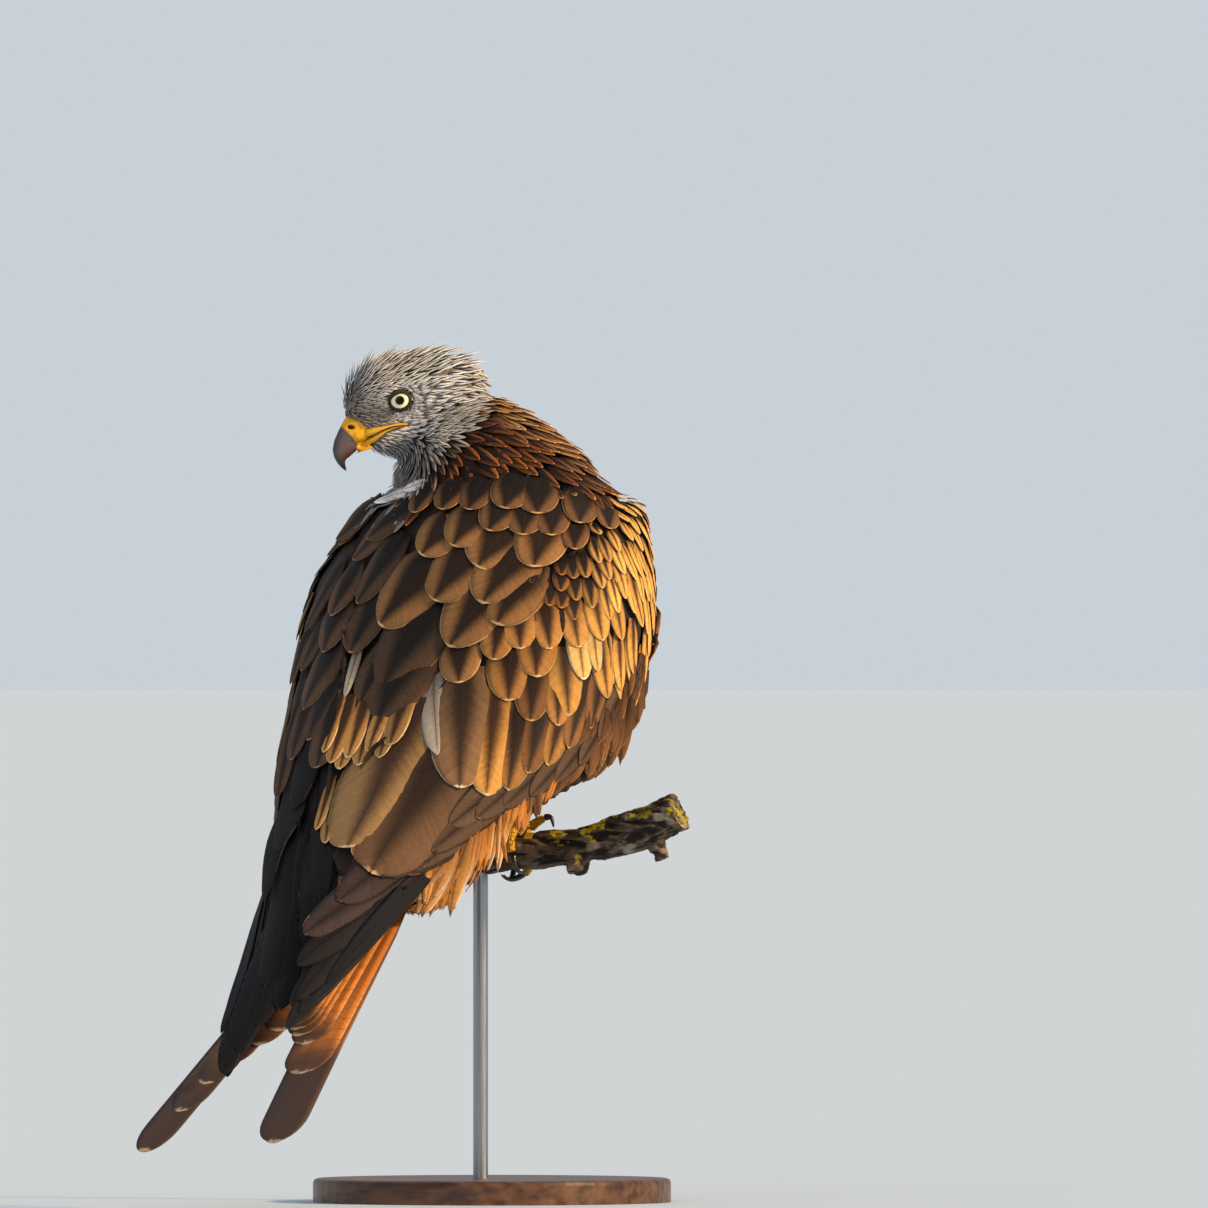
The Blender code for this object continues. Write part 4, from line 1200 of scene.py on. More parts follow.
PAINTS = {
    "scapular": (("2c1a0c", "9a6c3e", "f6c688"), (0.46, 0.07)),
    "mantle": (("1e120a", "74502f", "e8ae6c"), (0.54, 0.08)),
    "shaded": (("1a120c", "5a412e", "b48c66"), (0.38, 0.06)),
    "large": (("3a2818", "8a6642", "f6deb0"), (0.26, 0.07)),
    "covert": (("301a0c", "ac763a", "f6cc88"), (0.34, 0.09)),
    # bright: golden coverts, partly their own colour and partly painted light where the key light falls.
    "bright": (("4c2c12", "d89c4c", "fcdca4"), (0.22, 0.10)),
    # cream: a painted highlight on the wing's pale coverts where the key light strikes hardest.
    "cream": (("6e4620", "e8b86c", "fff0d0"), (0.10, 0.14)),
    "pale": (("7c6e60", "b0a08c", "e0d2be"), (0.10, 0.08)),
    "white": (("c8c2ba", "ece8e2", "f8f4ee"), (0.04, 0.10)),
    "tertial": (("4a3220", "ac8250", "f0ca94"), (0.24, 0.05)),
    "tertial_dark": (("342416", "74543a", "dcae78"), (0.28, 0.05)),
    "secondary": (("281c14", "5e4632", "b08e66"), (0.24, 0.05)),
    "purple": (("1e1614", "3e302c", "806250"), (0.3, 0.05)),
    # Blackish flight feathers, partly their own dark colour and partly painted shade between the wings.
    "dark_and_shaded": (("0c0a0b", "1a1617", "3a3029"), (0.3, 0.05)),
    "black": (("060607", "0e0d10", "1e1b20"), (0.3, 0.04)),
    "hem": (("28180c", "80562e", "e8b474"), (0.36, 0.10)),
    "frayed": (("4e3018", "c48c4a", "f4d49c"), (0.38, 0.16)),
    "plume": (("7c4216", "bc7830", "dca464"), (0.08, 0.14)),
    "plume_white": (("a06024", "cc8c46", "f4ece0"), (0.05, 0.20)),
    # Flank plumes under the wing, partly their own brown and partly painted shade.
    "plume_shaded": (("3e2614", "6c4726", "ac8054"), (0.10, 0.16)),
}
SCAPULARS = (
    (418, 515, 34, 26, 15, "mantle"),
    (444, 512, 34, 28, 20, "mantle"),
    (470, 512, 36, 30, 20, "mantle"),
    (505, 511, 38, 36, 18, "mantle"),
    (537, 516, 38, 38, 2, "mantle"),
    (578, 526, 38, 34, 4, "mantle"),
    (608, 532, 34, 24, -5, "mantle"),
    (490, 533, 46, 36, 24, "mantle"),
    (523, 537, 44, 36, 6, "mantle"),
    (551, 538, 42, 34, 2, "mantle"),
    (574, 552, 38, 26, 2, "mantle"),
    (455, 548, 52, 42, 30, "scapular"),
    (424, 557, 54, 44, 35, "scapular"),
    (535, 570, 58, 48, 12, "scapular"),
    (479, 569, 58, 54, 32, "scapular"),
    (485, 606, 82, 60, 30, "scapular"),
    (436, 602, 78, 55, 33, "scapular"),
    (383, 627, 94, 62, 36, "scapular"),
    (498, 626, 74, 56, 28, "scapular"),
    (452, 649, 92, 62, 33, "scapular"),
    (386, 689, 104, 70, 28, "shaded"),
    (494, 661, 52, 32, 10, "covert"),
    (461, 684, 56, 42, 0, "scapular"),
    (382, 722, 92, 78, 22, "shaded"),
)
COVERTS = (
    (521, 650, 54, 38, -2, "covert"),
    (550, 650, 54, 30, -6, "covert"),
    (578, 648, 50, 27, -8, "bright"),
    (601, 641, 50, 24, -8, "bright"),
    (620, 640, 52, 18, -6, "bright"),
    (640, 627, 66, 16, -9, "bright"),
    (509, 702, 62, 42, 3, "covert"),
    (536, 678, 56, 36, 2, "covert"),
    (567, 716, 70, 36, -2, "bright"),
    (582, 680, 60, 24, -4, "cream"),
    (605, 698, 66, 24, -4, "bright"),
    (596, 672, 60, 16, -4, "cream"),
    (618, 690, 58, 18, 2, "bright"),
    (630, 674, 56, 16, 4, "bright"),
    (530, 722, 66, 34, 5, "hem"),
    (556, 726, 60, 26, 4, "covert"),
    (588, 728, 70, 24, 14, "hem"),
    (566, 748, 78, 26, 16, "hem"),
    (546, 765, 84, 30, 16, "covert"),
    (526, 773, 90, 34, 14, "hem"),
    (507, 790, 100, 40, 10, "covert"),
    (486, 796, 110, 46, 6, "bright"),
    (440, 756, 84, 28, -4, "pale"),
    (461, 789, 122, 60, 2, "large"),
)
LEFT_WING = (
    (377, 505, 26, 10, 62, "white"),
    (386, 502, 28, 12, 60, "white"),
    (396, 498, 26, 12, 62, "white"),
    (406, 492, 22, 10, 60, "white"),
    (339, 542, 62, 26, 42, "shaded"),
    (371, 541, 62, 34, 44, "shaded"),
    (356, 562, 66, 30, 38, "shaded"),
    (360, 606, 86, 40, 30, "shaded"),
    (334, 618, 66, 32, 22, "shaded"),
    (308, 633, 84, 24, 24, "shaded"),
    (352, 655, 84, 44, 26, "shaded"),
    (347, 699, 64, 10, 13, "pale"),
    (362, 706, 80, 40, 24, "shaded"),
    (327, 654, 60, 42, 14, "shaded"),
    (304, 672, 60, 26, 20, "shaded"),
    (307, 711, 82, 46, 22, "shaded"),
    (293, 686, 60, 14, 12, "shaded"),
    (312, 742, 74, 46, 18, "shaded"),
    (292, 745, 80, 18, 8, "shaded"),
)
LOWER_RIGHT = (
    (300, 996, 212, 26, 42, "dark_and_shaded"),
    (300, 962, 190, 32, 54, "dark_and_shaded"),
    (307, 932, 170, 40, 56, "purple"),
    (340, 900, 150, 40, 52, "purple"),
    (410, 872, 190, 34, 50, "secondary"),
    (432, 850, 190, 34, 50, "secondary"),
    (450, 826, 190, 34, 50, "secondary"),
    (476, 818, 180, 32, 48, "secondary"),
    (502, 806, 160, 30, 46, "secondary"),
    (528, 794, 150, 28, 44, "secondary"),
    (552, 780, 130, 26, 40, "secondary"),
    (576, 762, 110, 26, 34, "secondary"),
    (596, 738, 90, 24, 28, "secondary"),
    (372, 872, 170, 92, 32, "tertial_dark"),
    (352, 850, 170, 92, 25, "tertial"),
    (321, 832, 60, 12, 13, "frayed"),
    (330, 845, 66, 16, 5, "frayed"),
    (394, 748, 70, 26, 14, "frayed"),
    (384, 760, 74, 22, 12, "frayed"),
    (373, 754, 72, 20, 16, "frayed"),
    (363, 768, 78, 24, 11, "frayed"),
    (352, 761, 72, 20, 14, "frayed"),
    (344, 772, 80, 22, 12, "frayed"),
    (335, 766, 74, 20, 14, "frayed"),
    (329, 755, 68, 14, 13, "frayed"),
)
LOWER_LEFT = (
    (229, 1070, 190, 38, 20, "black"),
    (243, 1048, 190, 44, 16, "black"),
    (262, 1024, 190, 46, 11, "black"),
    (284, 1008, 190, 40, 6, "black"),
    (270, 985, 170, 30, 8, "dark_and_shaded"),
    (312, 950, 190, 36, 8, "dark_and_shaded"),
    (324, 900, 180, 34, 5, "dark_and_shaded"),
    (270, 900, 170, 30, 12, "dark_and_shaded"),
    (285, 850, 140, 34, 12, "dark_and_shaded"),
    (299, 812, 120, 36, 14, "dark_and_shaded"),
    (282, 800, 100, 24, 10, "shaded"),
    (322, 770, 90, 40, 14, "shaded"),
    (297, 762, 80, 30, 12, "shaded"),
)

# The mantle and the ground coat of the back and wings lie under the big scapulars and coverts: dark
# scales with rufous edges, small at the shoulder and larger lower down.

back_mask = part["trunk"] & ~front_mask & ((form_centres[:, 2] <= 482) | wing_bend)
wing_masks = {"left": part["wing_left"], "right": part["wing_right"]}
small_mask = back_mask | wing_masks["right"]


def shoulder_size(points):
    """0 at the shoulder's top and 1 low on the wing."""
    return smooth_step(470, 300, points[:, 2])


def ridge(points):
    """1 at the wing's leading edge and 0 at the back, seen from the photograph's side."""
    return smooth_step(560, 625, pixel_of(points)[:, 0])


HEM = ((290, 345, 400, 450, 500, 540, 580, 610, 640), (790, 800, 845, 835, 812, 792, 762, 735, 700))
# Left of these pixels, at these heights in the photograph, only the large feathers show.
LARGE_ONLY = ((499, 505, 590, 625), (0, 440, 470, 500))


def uncovered(points, flows):
    """Leaves out the small feathers that would lie under the large ones or hang past the wing's hem."""
    hem = pixel_of((points + flows * 20) * np.where(points[:, :1] > 0, (-1, 1, 1), (1, 1, 1)))
    kept = hem[:, 1] < np.interp(hem[:, 0], *HEM)
    in_sight = onto(form, points)[1] @ view_ahead < -0.1
    spots = pixel_of(points + flows * 8)
    kept &= ~(in_sight & (spots[:, 0] < np.interp(spots[:, 1], *LARGE_ONLY)))
    rows = [(*row[:5], 0.62) for row in SCAPULARS + COVERTS + LEFT_WING]
    rows += [(*row[:5], 0.95) for row in LOWER_RIGHT + LOWER_LEFT]
    for tip_x, tip_y, long, wide, slope, share in rows:
        way = np.array((-math.sin(math.radians(slope)), math.cos(math.radians(slope))))
        off = spots - (tip_x, tip_y)
        back = -(off @ way)
        aside = np.abs(off @ (way[1], -way[0]))
        kept &= ~(in_sight & (aside < wide * 0.46) & (back > wide * 0.1) & (back < long * share))
    return points[kept], flows[kept]


places, flows = scatter(small_mask, lambda p: 5.6 + 6 * shoulder_size(p) - 0.4 * ridge(p),
                        lambda p: 8.0 + 9 * shoulder_size(p) + 4 * ridge(p))
places, flows = uncovered(places, flows)
grown, edge = shoulder_size(places), ridge(places)
far_side = smooth_step(-0.1, 0.35, onto(form, places)[1] @ view_ahead)
small = 1 - 0.4 * smooth_step(440, 470, places[:, 2])
# Toward the wing's leading edge the coat is golden, partly its own colour and partly painted light; where
# it turns away from the view and the key light it stays brown, a painted shade.
fringe_tone = mix(paint("b87634"), paint("ffdc98"), edge)
body_tone = mix(paint("80522a"), paint("f8b85a"), edge)
fringe_tone = mix(fringe_tone, paint("c08c54"), far_side * edge)
body_tone = mix(body_tone, paint("84552c"), far_side * edge)
shoulder_coat = make_vanes(
    "shoulder_feathers", form, places, flows, (19 + 22 * grown + 9 * edge) * small,
    (11 + 13 * grown - 1.8 * edge) * (0.55 + 0.45 * small),
    (paint("24160f"), jitter(body_tone, 0.3), jitter(fringe_tone, 0.2)),
    (0.62 - 0.54 * edge * (1 - far_side), 0.2), stations=7, columns=4, root=-2.4, tip=1.0, tip_start=0.45,
    tip_power=1.9, camber=0.16, thick=0.4, roll=-0.05,
)
place(shoulder_coat, contour_finish, "brown_feathers")

# The left wing's ground coat is painted in darker browns than the right one's, a painted shade on the side
# turned from the key light.
places, flows = scatter(wing_masks["left"], lambda p: 7 + 9 * shoulder_size(p),
                        lambda p: 11 + 13 * shoulder_size(p))
places, flows = uncovered(places, flows)
grown = shoulder_size(places)
small = 1 - 0.45 * smooth_step(440, 470, places[:, 2])
left_coat = make_vanes(
    "left_wing_feathers", form, places, flows, (24 + 28 * grown) * small,
    (14 + 16 * grown) * (0.3 + 0.7 * small),
    (paint("241810"), jitter(mix(paint("5c4028"), paint("4c3828"), grown), 0.25),
     jitter(mix(paint("b08454"), paint("94704e"), grown), 0.25)),
    (0.5, 0.09), stations=8, columns=4, root=-2.4, tip=1.2, tip_start=0.45, tip_power=1.8, camber=0.16,
    thick=0.4, roll=0.05,
)
place(left_coat, contour_finish, "brown_feathers")

# The large feathers of the back and the wings. Each lies on a smooth sheet over what the photograph
# shows there, over the feathers of the rows before it.

LARGE_STATIONS = 14
WIDTH_OVERLAP = 1.18
ROOT_SINK = 3.4


def rows_of(table, tree, stations):
    """Each row of a table as a spine over the surface, with its width, paints and marks."""
    steps = vane_steps(stations)
    spines, normals = [], []
    for tip_x, tip_y, long, _, slope, _ in table:
        slope = math.radians(slope)
        root = (tip_x + long * math.sin(slope), tip_y - long * math.cos(slope))
        spine, normal = seen_spine(root, (tip_x, tip_y), steps, tree)
        spines.append(spine)
        normals.append(normal)
    widths = np.array([row[3] for row in table]) * PIXEL
    tones = np.array([[paint(code) for code in PAINTS[row[5]][0]] for row in table])
    marks = np.array([PAINTS[row[5]][1] for row in table])
    return np.stack(spines, axis=1), np.stack(normals, axis=1), widths, tones, marks


def place_large(name, rows, tree, heights, **shape):
    spines, normals, widths, tones, marks = rows
    count = len(widths)
    tones = tones * (1 + 0.26 * (dice.random((count, 1, 1)) - 0.5))
    rank = np.linspace(heights[0], heights[1], count) + 0.25 * (np.arange(count) % 2)
    lengths = np.linalg.norm(np.diff(spines, axis=0), axis=2).sum(axis=0)
    return make_vanes(
        name, tree, spines[0], spines[1] - spines[0], lengths, widths * WIDTH_OVERLAP,
        (tones[:, 0], tones[:, 1], tones[:, 2]), (marks[:, 0], marks[:, 1]), stations=len(spines) - 1,
        columns=8, root=rank - ROOT_SINK, tip=rank + 0.8, wrap=True, thick=0.5, base=0.6,
        spines=(spines, normals), **shape,
    )


back_shell, _ = view_shell(form, (262, 470), (672, 820), 4, 22)
scapular_rows = rows_of(SCAPULARS, back_shell, LARGE_STATIONS)
scapulars = place_large("scapulars", scapular_rows, back_shell, (2.4, 1.4),
                        tip_start=0.35, tip_power=2.3, camber=0.10, fray=0.012)
place(scapulars, contour_finish, "brown_feathers")
covert_rows = rows_of(COVERTS, back_shell, LARGE_STATIONS)
coverts = place_large("wing_coverts", covert_rows, back_shell, (1.0, 2.2),
                      tip_start=0.4, tip_power=2.0, camber=0.14, fray=0.02)
place(coverts, contour_finish, "brown_feathers")
left_rows = rows_of(LEFT_WING, back_shell, LARGE_STATIONS)
left_large = place_large("left_wing_coverts", left_rows, back_shell, (2.2, 1.2),
                         tip_start=0.4, tip_power=1.8, camber=0.12, fray=0.02)
place(left_large, contour_finish, "brown_feathers")

# The folded wing tips. The primaries of each wing lie in a stack on one sloping sheet that runs on
# from the wing. Every feather lies over the next one out, and the outer ones reach farther back.
# Each station of a sheet is a place on its lower edge, the roll there in degrees and its width.

SHEETS = {
    "right": (-1, ((-70, 118, 258, 54, 30), (-58, 158, 226, 54, 46), (-50, 182, 208, 50, 46),
                   (-40, 214, 182, 42, 40), (-29, 242, 156, 32, 30), (-20, 260, 136, 24, 18),
                   (-14, 270, 121, 20, 8), (-9, 279, 108, 20, 4))),
    "left": (1, ((84, 118, 252, 54, 36), (74, 160, 216, 54, 58), (67, 190, 187, 44, 56),
                 (54, 230, 151, 32, 48), (43, 264, 122, 22, 36), (29, 292, 100, 14, 18),
                 (20, 305, 88.5, 10, 8), (13, 314, 80, 10, 4))),
}
# One primary: how far along the sheet its tip and root are, how far in from the lower edge its
# middle is at the tip and at the root, its width, and its height over the sheet.
PRIMARIES = (
    (0.80, -0.02, -1.0, 9, 15, -1.6),
    (0.93, -0.02, 2.5, 10, 19, -0.7),
    (1.00, -0.02, 6.0, 12, 21, 0.1),
    (0.93, -0.02, 11.0, 17, 22, 0.9),
    (0.83, -0.02, 16.5, 23, 23, 1.7),
    (0.72, -0.02, 21.0, 28, 24, 2.5),
    (0.61, -0.02, 26.0, 33, 25, 3.3),
    (0.50, -0.02, 31.0, 38, 26, 4.1),
)
PRIMARY_TONES = {"right": ("17181b", "3a2f2a"), "left": ("121317", "1e1c1e")}
SHEET_STEP = 8.0
FLIGHT_STATIONS = 26


def sheet_of(side, stations, whole):
    """A sheet's points in rows across it, its triangles and the way across at each station.

    A whole sheet runs on past both of its edges.
    """
    edges = np.array([s[:3] for s in stations], float)
    rolls = np.radians([s[3] for s in stations])
    along = unit(np.gradient(edges, axis=0))
    level = unit(np.array((side, 0, 0)) - along * along[:, :1] * side)
    up = np.cross(along, level) * -side
    across = level * np.cos(rolls)[:, None] - up * np.sin(rolls)[:, None]
    count = 11
    columns = np.tile(np.arange(-2, count - 2) * SHEET_STEP, (len(edges), 1))
    if not whole:
        columns = np.linspace(0, 1, count) * np.array([s[4] for s in stations])[:, None]
    points = edges[:, None] - across[:, None] * columns[:, :, None]
    triangles = []
    for j in range(len(stations) - 1):
        for k in range(count - 1):
            a = j * count + k
            b, c, d = (a + count, a + count + 1, a + 1)[:: -side]
            triangles += [(a, b, c), (a, c, d)]
    return points.reshape(-1, 3), np.array(triangles), edges, across


def sheet_spot(edges, across, share, inward):
    """The place at a share of the sheet's length and a distance in from its lower edge."""
    reach = np.concatenate([[0], np.cumsum(np.linalg.norm(np.diff(edges, axis=0), axis=1))])
    at = share * reach[-2]
    edge = np.array([np.interp(at, reach, column) for column in edges.T])
    way = np.array([np.interp(at, reach, column) for column in across.T])
    if share < 0:
        edge = edges[0] + (edges[0] - edges[1]) / reach[1] * -at
    return edge - unit(way) * inward


wing_trees = {}
for label, (side, stations) in SHEETS.items():
    points, triangles, edges, across = sheet_of(side, stations, True)
    sheet_tree = tree_over(points, triangles)
    starts = np.array([sheet_spot(edges, across, row[1], row[3]) for row in PRIMARIES])
    ends = np.array([sheet_spot(edges, across, row[0], row[2]) for row in PRIMARIES])
    rank = np.array([row[5] for row in PRIMARIES])
    count = len(rank)
    inner = np.linspace(0, 1, count)
    outer_tone, inner_tone = PRIMARY_TONES[label]
    body = mix(paint(outer_tone), paint(inner_tone), inner)
    primaries = make_vanes(
        "primaries_" + label, sheet_tree, starts, ends - starts, np.linalg.norm(ends - starts, axis=1),
        np.array([row[4] for row in PRIMARIES]),
        (body * 0.7, body, mix(body, paint("8a7464"), 0.3)), (0.12, 0.06), stations=FLIGHT_STATIONS,
        columns=8, root=rank - 1.0, tip=rank, tip_start=0.62, tip_power=2.2, camber=0.05, thick=0.7,
        base=0.8, wrap=True, lean=0.10 * side,
    )
    place(primaries, flight_finish, "dark_feathers", "wing_tip_" + label)
    points, triangles, _, _ = sheet_of(side, stations, False)
    both_points = np.concatenate([points, form_points])
    wing_trees[label] = tree_over(both_points, np.concatenate([triangles, form_triangles + len(points)]))

# The tertials and secondaries of the right wing, in the photograph's pixels as the coverts are, and
# the long feathers of the left one, which has the right one's rows where the photograph hides it.

LONG_STATIONS = 20


def mirrored(rows):
    """The right wing's rows on the left wing, where the photograph doesn't show it, darkened as painted
    shade.
    """
    spines, normals, widths, tones, marks = rows
    spines, normals = spines * (-1, 1, 1), normals * (-1, 1, 1)
    hidden = (normals @ view_ahead).mean(axis=0) > -0.05
    # Painted shade: the left wing's copies are darkened toward dark brown.
    tones = mix(tones, paint("4c3828"), 0.72)
    return spines[:, hidden], normals[:, hidden], widths[hidden], tones[hidden], marks[hidden]


right_shell, right_shell_mirrored = view_shell(wing_trees["right"], (285, 560), (670, 1010))
left_shell, _ = view_shell(wing_trees["left"], (195, 640), (350, 1130))
lower_rows = rows_of(LOWER_RIGHT, right_shell, LONG_STATIONS)
lower_right = place_large("secondaries_right", lower_rows, right_shell, (1.0, 3.4),
                          tip_start=0.55, tip_power=2.4, camber=0.06, fray=0.015)
place(lower_right, flight_finish, "brown_feathers")
lower_rows = rows_of(LOWER_LEFT, left_shell, LONG_STATIONS)
lower_left = place_large("secondaries_left", lower_rows, left_shell, (1.0, 3.0),
                         tip_start=0.5, tip_power=2.0, camber=0.08, fray=0.015)
place(lower_left, flight_finish, "brown_feathers")
far_rows = rows_of(LOWER_RIGHT[:15] + COVERTS, right_shell, LONG_STATIONS)
hidden_left = place_large("covered_left", mirrored(far_rows), right_shell_mirrored, (1.0, 2.4),
                          tip_start=0.45, tip_power=2.1, camber=0.1, fray=0.02)
place(hidden_left, contour_finish, "brown_feathers")

# The forked tail: twelve feathers in one sloping plane, the middle pair on top and the outer pair
# lowest and longest. Each has a pale edge and a dark band at its end.

TAIL_ROOT = np.array((0, 104, 241.0))
TAIL_SLOPE = math.radians(38.8)
tail_along = np.array((0, math.cos(TAIL_SLOPE), -math.sin(TAIL_SLOPE)))
tail_above = np.array((0, math.sin(TAIL_SLOPE), math.cos(TAIL_SLOPE)))
# On each side from the middle out: how far the tip is from the root, how far from the middle line the
# tip and the root are, and the width.
RECTRICES = {
    1: ((200, 5, 2, 26), (214, 13, 4, 26), (234, 26, 6, 26), (254, 33, 8, 26), (282, 38, 10, 26),
        (323, 45, 12, 27)),
    -1: ((193, 5, 2, 26), (197, 8, 4, 27), (203, 12, 5, 28), (211, 20, 6, 31), (241, 31, 8, 37),
         (312, 43, 8, 36)),
}
BAND_LENGTHS = (40, 40, 40, 44, 48, 112)
OUTER_BAND_MORE = 30
grid = [(x, s) for s in (-40, 60, 160, 260, 360) for x in (-80, 0, 80)]
tail_points = np.array([TAIL_ROOT + (x, 0, 0) + tail_along * s for x, s in grid])
tail_quads = [(3 * j + k, 3 * j + k + 1, 3 * j + k + 4, 3 * j + k + 3) for j in range(4) for k in range(2)]
tail_triangles = [t for a, b, c, d in tail_quads for t in ((a, c, b), (a, d, c))]
tail_tree = tree_over(tail_points, np.array(tail_triangles))
tail_facing = tail_tree.find_nearest(Vector(TAIL_ROOT + tail_along * 9))[1]
if tail_facing @ Vector(tail_above) < 0:
    tail_tree = tree_over(tail_points, np.array(tail_triangles)[:, ::-1])
starts, ends, widths, rank, reach = [], [], [], [], []
for number in range(6):
    for side, rows in RECTRICES.items():
        far, tip_x, root_x, wide = rows[number]
        starts.append(TAIL_ROOT + (side * root_x, 0, 0) - tail_along * 4)
        ends.append(TAIL_ROOT + (side * tip_x, 0, 0) + tail_along * far)
        widths.append(wide)
        rank.append(3.0 - 1.0 * number + 0.4 * side)
        reach.append(number / 5)
starts, ends, rank, reach = np.array(starts), np.array(ends), np.array(rank), np.array(reach)
rufous = mix(paint("d8842c"), paint("c06a20"), reach)
tail_sides = np.tile([1, -1], 6)
# Painted shade: on the tail's left half all but the middle feathers are darkened to dark brown.
rufous = mix(rufous, paint("583824"), (tail_sides > 0) * 0.85 * smooth_step(0.1, 0.45, reach))
rufous = mix(rufous, paint("6e3e20"), 0.9 * smooth_step(0.8, 1.0, reach))
rectrices = make_vanes(
    "tail_feathers", tail_tree, starts, ends - starts, np.linalg.norm(ends - starts, axis=1),
    np.array(widths),
    (mix(paint("6a3a18"), rufous, 0.5), jitter(rufous, 0.15), mix(rufous, paint("f0c898"), 0.5)),
    (0.05, 0.07), stations=FLIGHT_STATIONS, columns=8, root=rank * 0.6, tip=rank * 0.55, tip_start=0.92,
    tip_power=2.0, camber=0.04, thick=0.7, base=0.5, fray=0.006, lean=0.12 * tail_sides,
    roll=-0.05 * tail_sides, turn=-0.03 * tail_sides * reach,
)
vane_points = len(rectrices.data.vertices) // len(starts)
dark_lengths = np.repeat(BAND_LENGTHS, 2) + OUTER_BAND_MORE * (tail_sides > 0) * (reach == 1)
store(rectrices.data, "dark_end", np.repeat(dark_lengths, vane_points))
across_vane = np.zeros(len(rectrices.data.vertices) * 3, np.float32)
rectrices.data.attributes["vane"].data.foreach_get("vector", across_vane)
side_of_vane = np.repeat(tail_sides * smooth_step(0.6, 0.9, reach), vane_points)
store(rectrices.data, "outer_web", across_vane.reshape(-1, 3)[:, 0] * side_of_vane)
tail_finish, tree, shader = finish("tail_feathers", Sheen_Weight=0.05, Specular_IOR_Level=0.3)
marked_colour = marked(tree, shader, 0.8, 0.05, 0.3, 0.35, 0.14)
_, barb_y, barb_length = attribute_parts(tree, "barb")
to_tip = reckon(tree, "SUBTRACT", barb_length, barb_y)
to_tip = reckon(tree, "ADD", to_tip, reckon(tree, "MULTIPLY", noise(tree, 160), 8.0))
band_length = stored(tree, "dark_end")["Fac"]
band = soften(tree, to_tip, band_length, reckon(tree, "MULTIPLY_ADD", band_length, 1.1, -36.0))
fine_bars = reckon(tree, "SINE", reckon(tree, "MULTIPLY", to_tip, 0.55))
fine_bars = reckon(tree, "MULTIPLY", soften(tree, fine_bars, 0.75, 1.0), soften(tree, to_tip, 120.0, 40.0))
web = stored(tree, "outer_web")["Fac"]
band = reckon(tree, "MAXIMUM", band, reckon(tree, "MULTIPLY", soften(tree, web, 0.12, 0.4), 0.85))
barred = reckon(tree, "MULTIPLY", fine_bars, 0.35)
tipped = blend_colours(tree, barred, marked_colour, paint("5a3016"))
tipped = blend_colours(tree, reckon(tree, "MULTIPLY", band, 0.88), tipped, paint("382c26"))
ragged_edge = soften(tree, to_tip, 8.5, 4.5)
tipped = blend_colours(tree, reckon(tree, "MULTIPLY", ragged_edge, 0.9), tipped, paint("dcbc98"))
join(tree, tipped, shader.inputs["Base Color"])
place(rectrices, tail_finish, "tail_feathers", "tail")

# The loose plumes of the thighs, the vent and the flanks hang free, some with white frayed ends. Those
# of the flank under the wing are darker, partly their own brown and partly painted shade. Each row is a
# bunch, with the same columns as the rows of the large feathers.

PLUMES = (
    (402, 905, 90, 22, 30, "plume_white"), (412, 908, 84, 22, 26, "plume_white"),
    (422, 910, 88, 24, 24, "plume"), (432, 912, 84, 22, 20, "plume_white"),
    (441, 911, 84, 22, 16, "plume"), (450, 902, 76, 20, 14, "plume"),
    (458, 892, 74, 20, 14, "plume"), (466, 884, 70, 18, 12, "plume"),
    (474, 872, 62, 16, 12, "plume"), (484, 866, 64, 12, 14, "plume"),
    (493, 868, 66, 12, 8, "plume_white"), (499, 860, 60, 10, 6, "plume"),
    (509, 832, 44, 14, 6, "plume"), (520, 838, 44, 12, 4, "plume"),
    (530, 816, 44, 14, 8, "plume_shaded"), (540, 806, 44, 14, 18, "plume"),
    (549, 798, 50, 14, 26, "plume_shaded"), (560, 784, 48, 18, 24, "plume_shaded"),
    (576, 786, 52, 22, 24, "plume_shaded"), (590, 776, 54, 22, 18, "plume_shaded"),
    (572, 768, 46, 20, 18, "plume_shaded"), (584, 760, 54, 26, 10, "plume_shaded"),
    (594, 766, 60, 26, 10, "plume_shaded"), (602, 771, 66, 24, 12, "plume_shaded"),
    (608, 766, 70, 22, 14, "plume_shaded"), (614, 750, 70, 22, 14, "plume_shaded"),
    (620, 732, 66, 20, 14, "plume_shaded"), (625, 712, 60, 16, 12, "plume_shaded"),
)
STRANDS = 5


